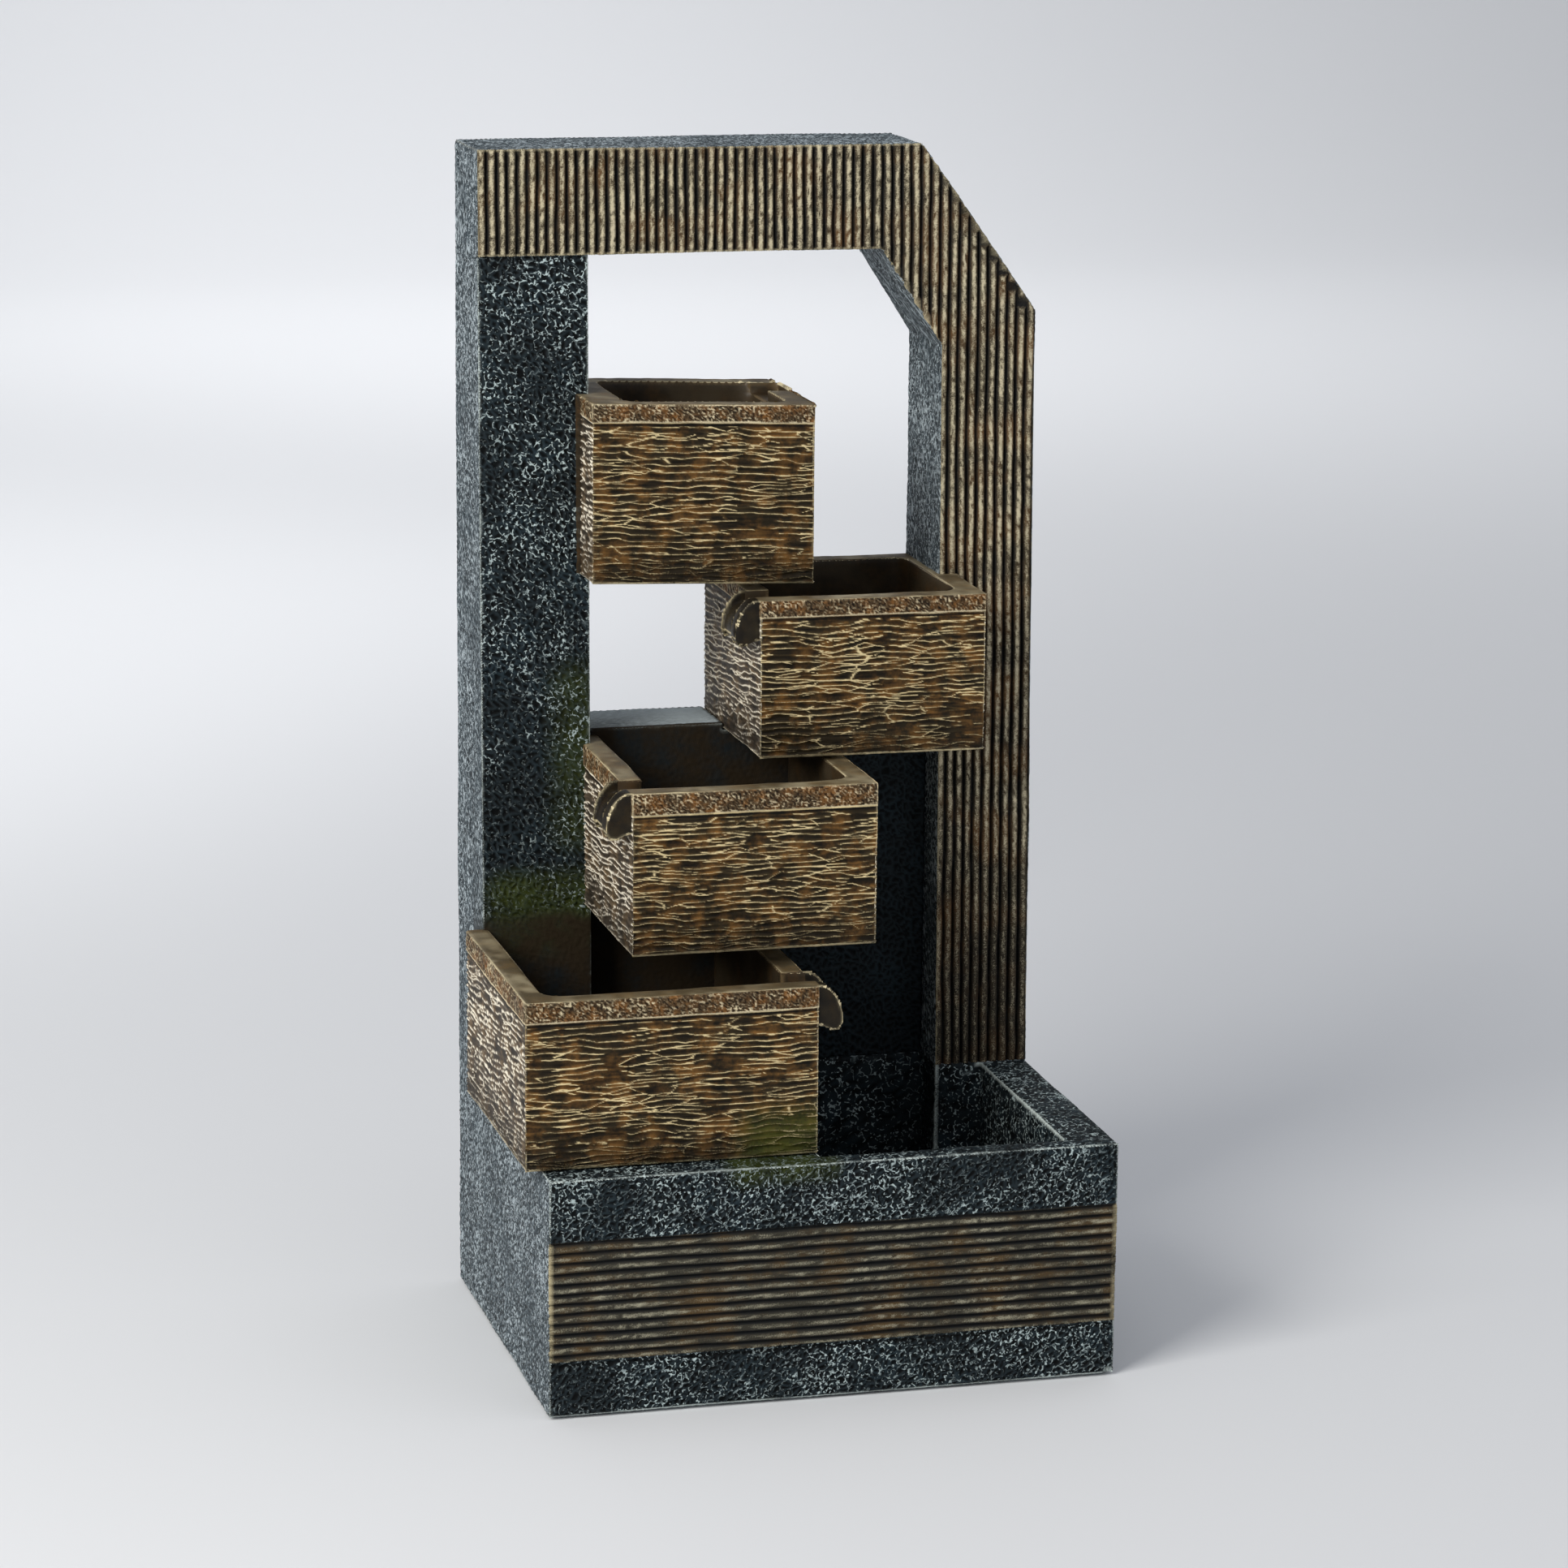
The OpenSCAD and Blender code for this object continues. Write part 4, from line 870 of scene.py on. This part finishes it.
def buildBase():
    detail = baseDetail
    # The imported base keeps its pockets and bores; its front is planed flat and grown again,
    # so that the grooves can be sculpted
    bm = meshOf("base_basin")
    plane = baseLow.y + detail["frontPlaned"]
    bmesh.ops.bisect_plane(bm, geom=bm.verts[:] + bm.edges[:] + bm.faces[:], dist=0.001,
                           plane_co=(0, plane, 0), plane_no=(0, -1, 0), clear_outer=True)
    rim = [e for e in bm.edges if e.is_boundary]
    made = bmesh.ops.extrude_edge_only(bm, edges=rim)["geom"]
    front = [v for v in made if isinstance(v, bmesh.types.BMVert)]
    bmesh.ops.translate(bm, verts=front, vec=(0, -detail["frontPlaned"], 0))
    bmesh.ops.edgeloop_fill(bm, edges=[e for e in bm.edges if e.is_boundary])
    solid = solidOf(bm, "base")
    face, side, basin = detail["stoneGrid"], detail["sideGrid"], detail["basinGrid"]
    kinds = {"hidden": (None, "grainedStone"), "plain": ((9, 9, 9), "grainedStone"),
             "face": ((face, 2, face), "hammeredStone"), "band": ((1.7, 2, 0.48), "agedFlutes"),
             "side": ((side, side, side), "grainedStone"), "rear": ((2.4, 2.4, 2.4), "grainedStone"),
             "rim": ((0.9, 0.9, 0.9), "hammeredStone"), "basin": ((basin, basin, basin), "hammeredStone")}
    piece = sculpt(solid, "baseCasting", kinds, baseKind, baseRelief, (4.8, 4.8, detail["bandPitch"]),
                   edgeRound=1.7, mossOf=baseMoss)
    standsFor(piece, "stone_cast", "base_basin", "ribbed_band")
    piece = sculpt(solidOf(meshOf("base_back"), "back"), "baseBackCasting", kinds, baseKind, baseRelief,
                   (3.7, 3.7, detail["bandPitch"]), edgeRound=1.7)
    standsFor(piece, "stone_cast", "base_back")


buildBase()


# ---------- back panel ----------

def panelKind(centre, normal):
    if normal.y < -0.5 and centre.y < panelLow.y + 1:
        return "face"
    if normal.z > 0.5 and centre.z > 150:
        return "ledge"
    return "rear" if normal.y > 0.5 and centre.y > panelHigh.y - 1 else "hidden"


def panelRelief(kind, points):
    x, y, z = points.T
    if kind == "face":
        height, crest, hollow = hammered(61, x, z, 2.4, 0.8)
        # painted shade: the panel face's crests are brushed weaker, as it stands in shade
        return height, crest * 0.7, hollow
    height, crest, hollow = sideRelief(points, kind)
    return height, np.minimum(crest + (0.55 if kind == "ledge" else 0), 1), hollow


def buildPanel():
    solid = solidOf(meshOf("back_panel"), "panel")
    kinds = {"hidden": (None, "grainedStone"), "face": ((0.7, 2, 0.7), "shadedStone"),
             "ledge": ((1.2, 1.2, 1.2), "grainedStone"), "rear": ((2.4, 2.4, 2.4), "grainedStone")}
    piece = sculpt(solid, "panelCasting", kinds, panelKind, panelRelief, (5, 5, 5), edgeRound=1.2,
                   bareOf=insideBowls)
    standsFor(piece, "stone_cast", "back_panel")


buildPanel()


# ---------- bowls ----------

bowlDetail = {"wall": 9.0, "floor": 8.0, "innerRound": 5.0, "barkPitch": 2.25, "barkDepth": 0.9,
              "faceGrid": (0.72, 0.72, 0.34), "sideGrid": (0.8, 0.8, 0.45)}
lipDetail = {"channel": 17.0, "frontCheek": 7.5, "cheek": 2.0, "sink": 4.0, "reach": 8.0, "overReach": 1.0, "drop": 17.0}

# side of the spill lip, its distance from the front (or None: against the rear wall),
# height of the pitted band, how far the right end hangs, and the pattern's seed
bowls = {
    "bottom_bowl": {"lip": 1, "lipFromFront": 1.5, "band": 8.2, "droop": 0.0, "seed": 110, "openRear": True},
    "lower_bowl": {"lip": -1, "lipFromFront": 1.5, "band": 8.8, "droop": -1.6, "seed": 210, "openRear": True},
    "upper_bowl": {"lip": -1, "lipFromFront": 1.5, "band": 6.9, "droop": 0.3, "seed": 310, "openRear": False},
    "top_bowl": {"lip": 1, "lipFromFront": None, "band": 7.2, "droop": 2.6, "seed": 410, "openRear": False},
}


# Outline of a curl that leaves the rim at height 0 and falls along the wall
def curlOutline(reach, drop, sunk, inner):
    curl = [(reach * math.sin(math.radians(a)), -sunk - (drop - sunk - 3) * (1 - math.cos(math.radians(a))))
            for a in range(0, 91, 9)]
    return [(-inner, -sunk)] + curl + [(reach - 1.5, 0.6 - drop), (reach * 0.5, -drop), (-inner, 3 - drop)]


def buildBowl(node, look):
    low, high = cornersOf(node)
    lip, wall = lipDetail, bowlDetail["wall"]
    lipReach = lip["reach"] + lip["overReach"]
    bodyLow, bodyHigh = Vector(low), Vector(high)
    if look["lip"] > 0:
        bodyHigh.x -= lipReach
    else:
        bodyLow.x += lipReach
    rimZ, seed = high.z, look["seed"]
    lipFront = bodyLow.y + look["lipFromFront"] if look["lipFromFront"] is not None else \
        bodyHigh.y - wall - lip["channel"] - 2 * lip["cheek"]
    lipX = bodyHigh.x if look["lip"] > 0 else bodyLow.x
    rear = bodyHigh.y + (sink if look["openRear"] else 0)

    solid = blockBetween((bodyLow.x, bodyLow.y, bodyLow.z), (bodyHigh.x, rear, rimZ))
    innerX = max(bodyLow.x + wall, columnHigh.x + wall) if node == "top_bowl" else bodyLow.x + wall
    cavity = blockBetween((innerX, bodyLow.y + wall, bodyLow.z + bowlDetail["floor"]),
                          (bodyHigh.x - wall, rear + 5 if look["openRear"] else rear - wall, rimZ + 5))
    bevelEdges(cavity, bowlDetail["innerRound"], 3, lambda at, run: abs(run.z) > 10 or at.z < rimZ)
    combine(solid, cavity, "DIFFERENCE")
    whole = lip["channel"] + 2 * lip["cheek"]
    # The front cheek takes up the whole front wall; the top bowl's lip stands clear of it
    front = lip["frontCheek"] if look["lipFromFront"] is not None else lip["cheek"]
    for start, end, sunk, reach in ((0, front, 0, lipReach), (front - 0.3, whole - 1, lip["sink"], lip["reach"]),
                                    (whole - lip["cheek"], whole, 0, lipReach)):
        outline = [(lipX + look["lip"] * x, rimZ + z) for x, z in curlOutline(reach, lip["drop"], sunk, 1.5)]
        combine(solid, prismOf(outline, lipFront + start, lipFront + end), "UNION")
    insideX = lipX - look["lip"] * (wall + 3)
    channel = blockBetween((min(insideX, lipX), lipFront + front, rimZ - lip["sink"]),
                           (max(insideX, lipX), lipFront + whole - lip["cheek"], rimZ + 3))
    combine(solid, channel, "DIFFERENCE")
    # Seats in the castings behind, which it runs a little way into
    combine(solid, leaningBlock((columnLow.x - 20, columnLow.y + sink, 60),
                                (columnHigh.x - sink, columnHigh.y + 40, 400)), "DIFFERENCE")
    if node == "upper_bowl":
        pillarX = archHigh.x - archDetail["pillar"]
        combine(solid, leaningBlock((pillarX + sink, archLow.y + sink, 60), (archHigh.x + 20, 120, 400)),
                "DIFFERENCE")

    bandZ = rimZ - look["band"]

    def kindOf(centre, normal):
        onLeft, onRight = centre.x < bodyLow.x + 0.6, centre.x > bodyHigh.x - 0.6
        onFront, onRear = centre.y < bodyLow.y + 0.6, centre.y > bodyHigh.y - 0.6
        if normal.z < -0.5 and centre.z < bodyLow.z + 1:
            return "under"
        beyond = centre.x < bodyLow.x - 0.3 or centre.x > bodyHigh.x + 0.3
        if beyond:
            return "lip"
        if normal.z > 0.5 and centre.z > rimZ - 0.6:
            return "rim"
        if onFront and normal.y < -0.5:
            return "band" if centre.z > bandZ else "face"
        if (onLeft and normal.x < -0.5) or (onRight and normal.x > 0.5):
            if centre.y > archLow.y + sink and node in ("top_bowl", "upper_bowl") and onLeft == (node == "top_bowl"):
                return "hidden"
            return "sideBand" if centre.z > bandZ else "side"
        if onRear and normal.y > 0.5:
            return "hidden" if look["openRear"] else "back"
        if centre.y > columnLow.y + sink - 1 and centre.x < columnHigh.x and abs(normal.z) < 0.5 and \
                centre.z < rimZ and not (innerX - 0.5 < centre.x):
            return "hidden"
        return "inside"

    def reliefOf(kind, points):
        x, y, z = points.T
        if kind in ("face", "band", "side", "sideBand", "back"):
            onSide = kind in ("side", "sideBand")
            run = bodyLow.y - y + bodyLow.x if onSide else x
            slant = 0.07 if onSide else 0.0
            if kind in ("band", "sideBand"):
                height, crest, hollow = pitted(seed + 50, run, z, 0.35)
            else:
                height, crest, hollow = gouged(seed, run, z - slant * run, bowlDetail["barkPitch"],
                                               bowlDetail["barkDepth"])
                low = 1 - ease(0.0, 0.38, (z - bodyLow.z) / (rimZ - bodyLow.z))
                crest, hollow = crest * (1 - 0.55 * low), np.maximum(hollow, 0.75 * low)
            groove = z - bandZ + 0.25 * noise(seed + 60, run / 9.0, z * 0 + 0.5)
            line = 1 - ease(0.25, 0.75, np.abs(groove + 0.5))
            lightLine = 1 - ease(0.15, 0.55, np.abs(groove - 0.45))
            height = height * (1 - line) - 0.8 * line
            return height, np.maximum(crest * (1 - line), lightLine * 0.9), np.maximum(hollow * (1 - lightLine), line)
        if kind == "rim":
            return smoothed(seed + 30, x, y, 0.45)
        if kind == "lip":
            return smoothed(seed + 33, x + y, z, 0.3)
        return smoothed(seed + 36, x + y, z, 0.35)

    def mossOf(points):
        if node != "bottom_bowl":
            return np.zeros(len(points))
        return nearBox(points, (bodyHigh.x - 20, bodyLow.y - 2, bodyLow.z - 2),
                       (bodyHigh.x + 2, bodyLow.y + 2, bodyLow.z + 9), 13)

    def settle(points):
        moved = points.copy()
        across = np.clip((points[:, 0] - bodyLow.x) / (bodyHigh.x - bodyLow.x), 0, 1.1)
        if look["droop"] > 0:
            moved[:, 2] -= look["droop"] * across
        elif look["droop"] < 0:  # the rear of the left rim stands up a little
            back = np.clip((points[:, 1] - bodyLow.y) / (bodyHigh.y - bodyLow.y), 0, 1)
            upper = ease(bodyLow.z + 20, rimZ, points[:, 2])
            moved[:, 2] -= look["droop"] * back * upper * (1 - ease(0, 0.35, across))
        return moved

    faceGrid, sideGrid = bowlDetail["faceGrid"], bowlDetail["sideGrid"]
    kinds = {"hidden": (None, "bowlInside"), "under": ((2, 2, 2), "barkSide"), "face": (faceGrid, "barkFace"),
             "band": ((0.5, 0.5, 0.5), "pittedBand"), "side": (sideGrid, "barkSide"),
             "sideBand": ((0.7, 0.7, 0.55), "pittedBand"), "back": ((1.1, 1.1, 0.8), "barkSide"),
             "rim": ((0.8, 0.8, 0.8), "bowlRim"), "lip": ((0.7, 0.7, 0.7), "lipFace"),
             "inside": ((2.2, 2.2, 2.2), "bowlInside")}
    piece = sculpt(solid, node.split("_")[0] + "BowlCasting", kinds, kindOf, reliefOf, (5, 5, 5),
                   edgeRound=1.9, mossOf=mossOf, settle=settle)
    standsFor(piece, "bark_cast", node)


for node, look in bowls.items():
    buildBowl(node, look)


# ---------- finishes of the small parts ----------

# hex colour, roughness, metallic, grain size in millimetres, bump strength, colour spread
partLooks = {
    "door_plastic": ("mouldedAbs", "#23272B", 0.48, 0.0, 0.5, 0.12, 0.15),
    "pump_plastic": ("mouldedAbsGloss", "#1B1E21", 0.36, 0.0, 0.6, 0.06, 0.12),
    "seal_rubber": ("mouldedRubber", "#17181A", 0.72, 0.0, 0.4, 0.15, 0.2),
    "pad_rubber": ("padRubber", "#141414", 0.85, 0.0, 0.5, 0.2, 0.2),
    "screw_steel": ("stainlessSteel", "#B9BCC0", 0.28, 1.0, 0.3, 0.05, 0.06),
    "core_steel": ("siliconSteel", "#8C9096", 0.45, 1.0, 0.35, 0.1, 0.12),
    "bobbin_plastic": ("nylon", "#E1DCCB", 0.45, 0.0, 0.6, 0.05, 0.06),
    "coil_copper": ("enamelledCopper", "#B4622A", 0.3, 1.0, 0.25, 0.4, 0.2),
    "potting": ("pouredEpoxy", "#131417", 0.18, 0.0, 2.0, 0.05, 0.1),
    "shaft_ceramic": ("groundCeramic", "#ECEAE4", 0.25, 0.0, 0.3, 0.03, 0.04),
    "magnet_ferrite": ("sinteredFerrite", "#3A3D42", 0.6, 0.3, 0.25, 0.15, 0.15),
    "impeller_plastic": ("acetal", "#D9DDDF", 0.4, 0.0, 0.6, 0.04, 0.05),
    "sponge": ("openFoam", "#2C3A48", 0.95, 0.0, 0.9, 0.9, 0.45),
    "dial_plastic": ("paleAbs", "#C3C8CC", 0.42, 0.0, 0.5, 0.1, 0.06),
    "hose_vinyl": ("greenishVinyl", "#9FB5AC", 0.22, 0.0, 1.5, 0.05, 0.1),
}


def partFinish(name, hexColour, rough, metallic, grain, bump, spread):
    finish = bpy.data.materials.new(name)
    finish.use_nodes = True
    tree = finish.node_tree
    shader = tree.nodes["Principled BSDF"]
    place = addNode(tree, "ShaderNodeTexCoord").outputs["Object"]
    grit = addNode(tree, "ShaderNodeTexNoise", {"Vector": place, "Scale": 1 / (grain * metre), "Detail": 3.0})
    cloud = addNode(tree, "ShaderNodeTexNoise", {"Vector": place, "Scale": 1 / (9 * metre), "Detail": 2.0})
    bright = addNode(tree, "ShaderNodeMapRange", {"Value": cloud.outputs["Fac"], "To Min": 1 - spread,
                                                  "To Max": 1 + spread})
    tone = addNode(tree, "ShaderNodeHueSaturation", {"Color": linear(hexColour), "Value": bright.outputs[0]})
    tree.links.new(tone.outputs[0], shader.inputs["Base Color"])
    haze = addNode(tree, "ShaderNodeMapRange", {"Value": grit.outputs["Fac"], "To Min": rough - 0.06,
                                                "To Max": min(1.0, rough + 0.1)})
    tree.links.new(haze.outputs[0], shader.inputs["Roughness"])
    lift = addNode(tree, "ShaderNodeBump", {"Height": grit.outputs["Fac"], "Strength": bump, "Distance": 0.0003})
    tree.links.new(lift.outputs[0], shader.inputs["Normal"])
    shader.inputs["Metallic"].default_value = metallic
    return finish


partFinishes = {slot: partFinish(*look) for slot, look in partLooks.items()}
for row in frame["record"]["subparts"]:
    if row["material_slot"] in partFinishes:
        node = cadNodes[row["node"]]
        node.data.materials.clear()
        node.data.materials.append(partFinishes[row["material_slot"]])
print("small parts finished:", len(partFinishes))
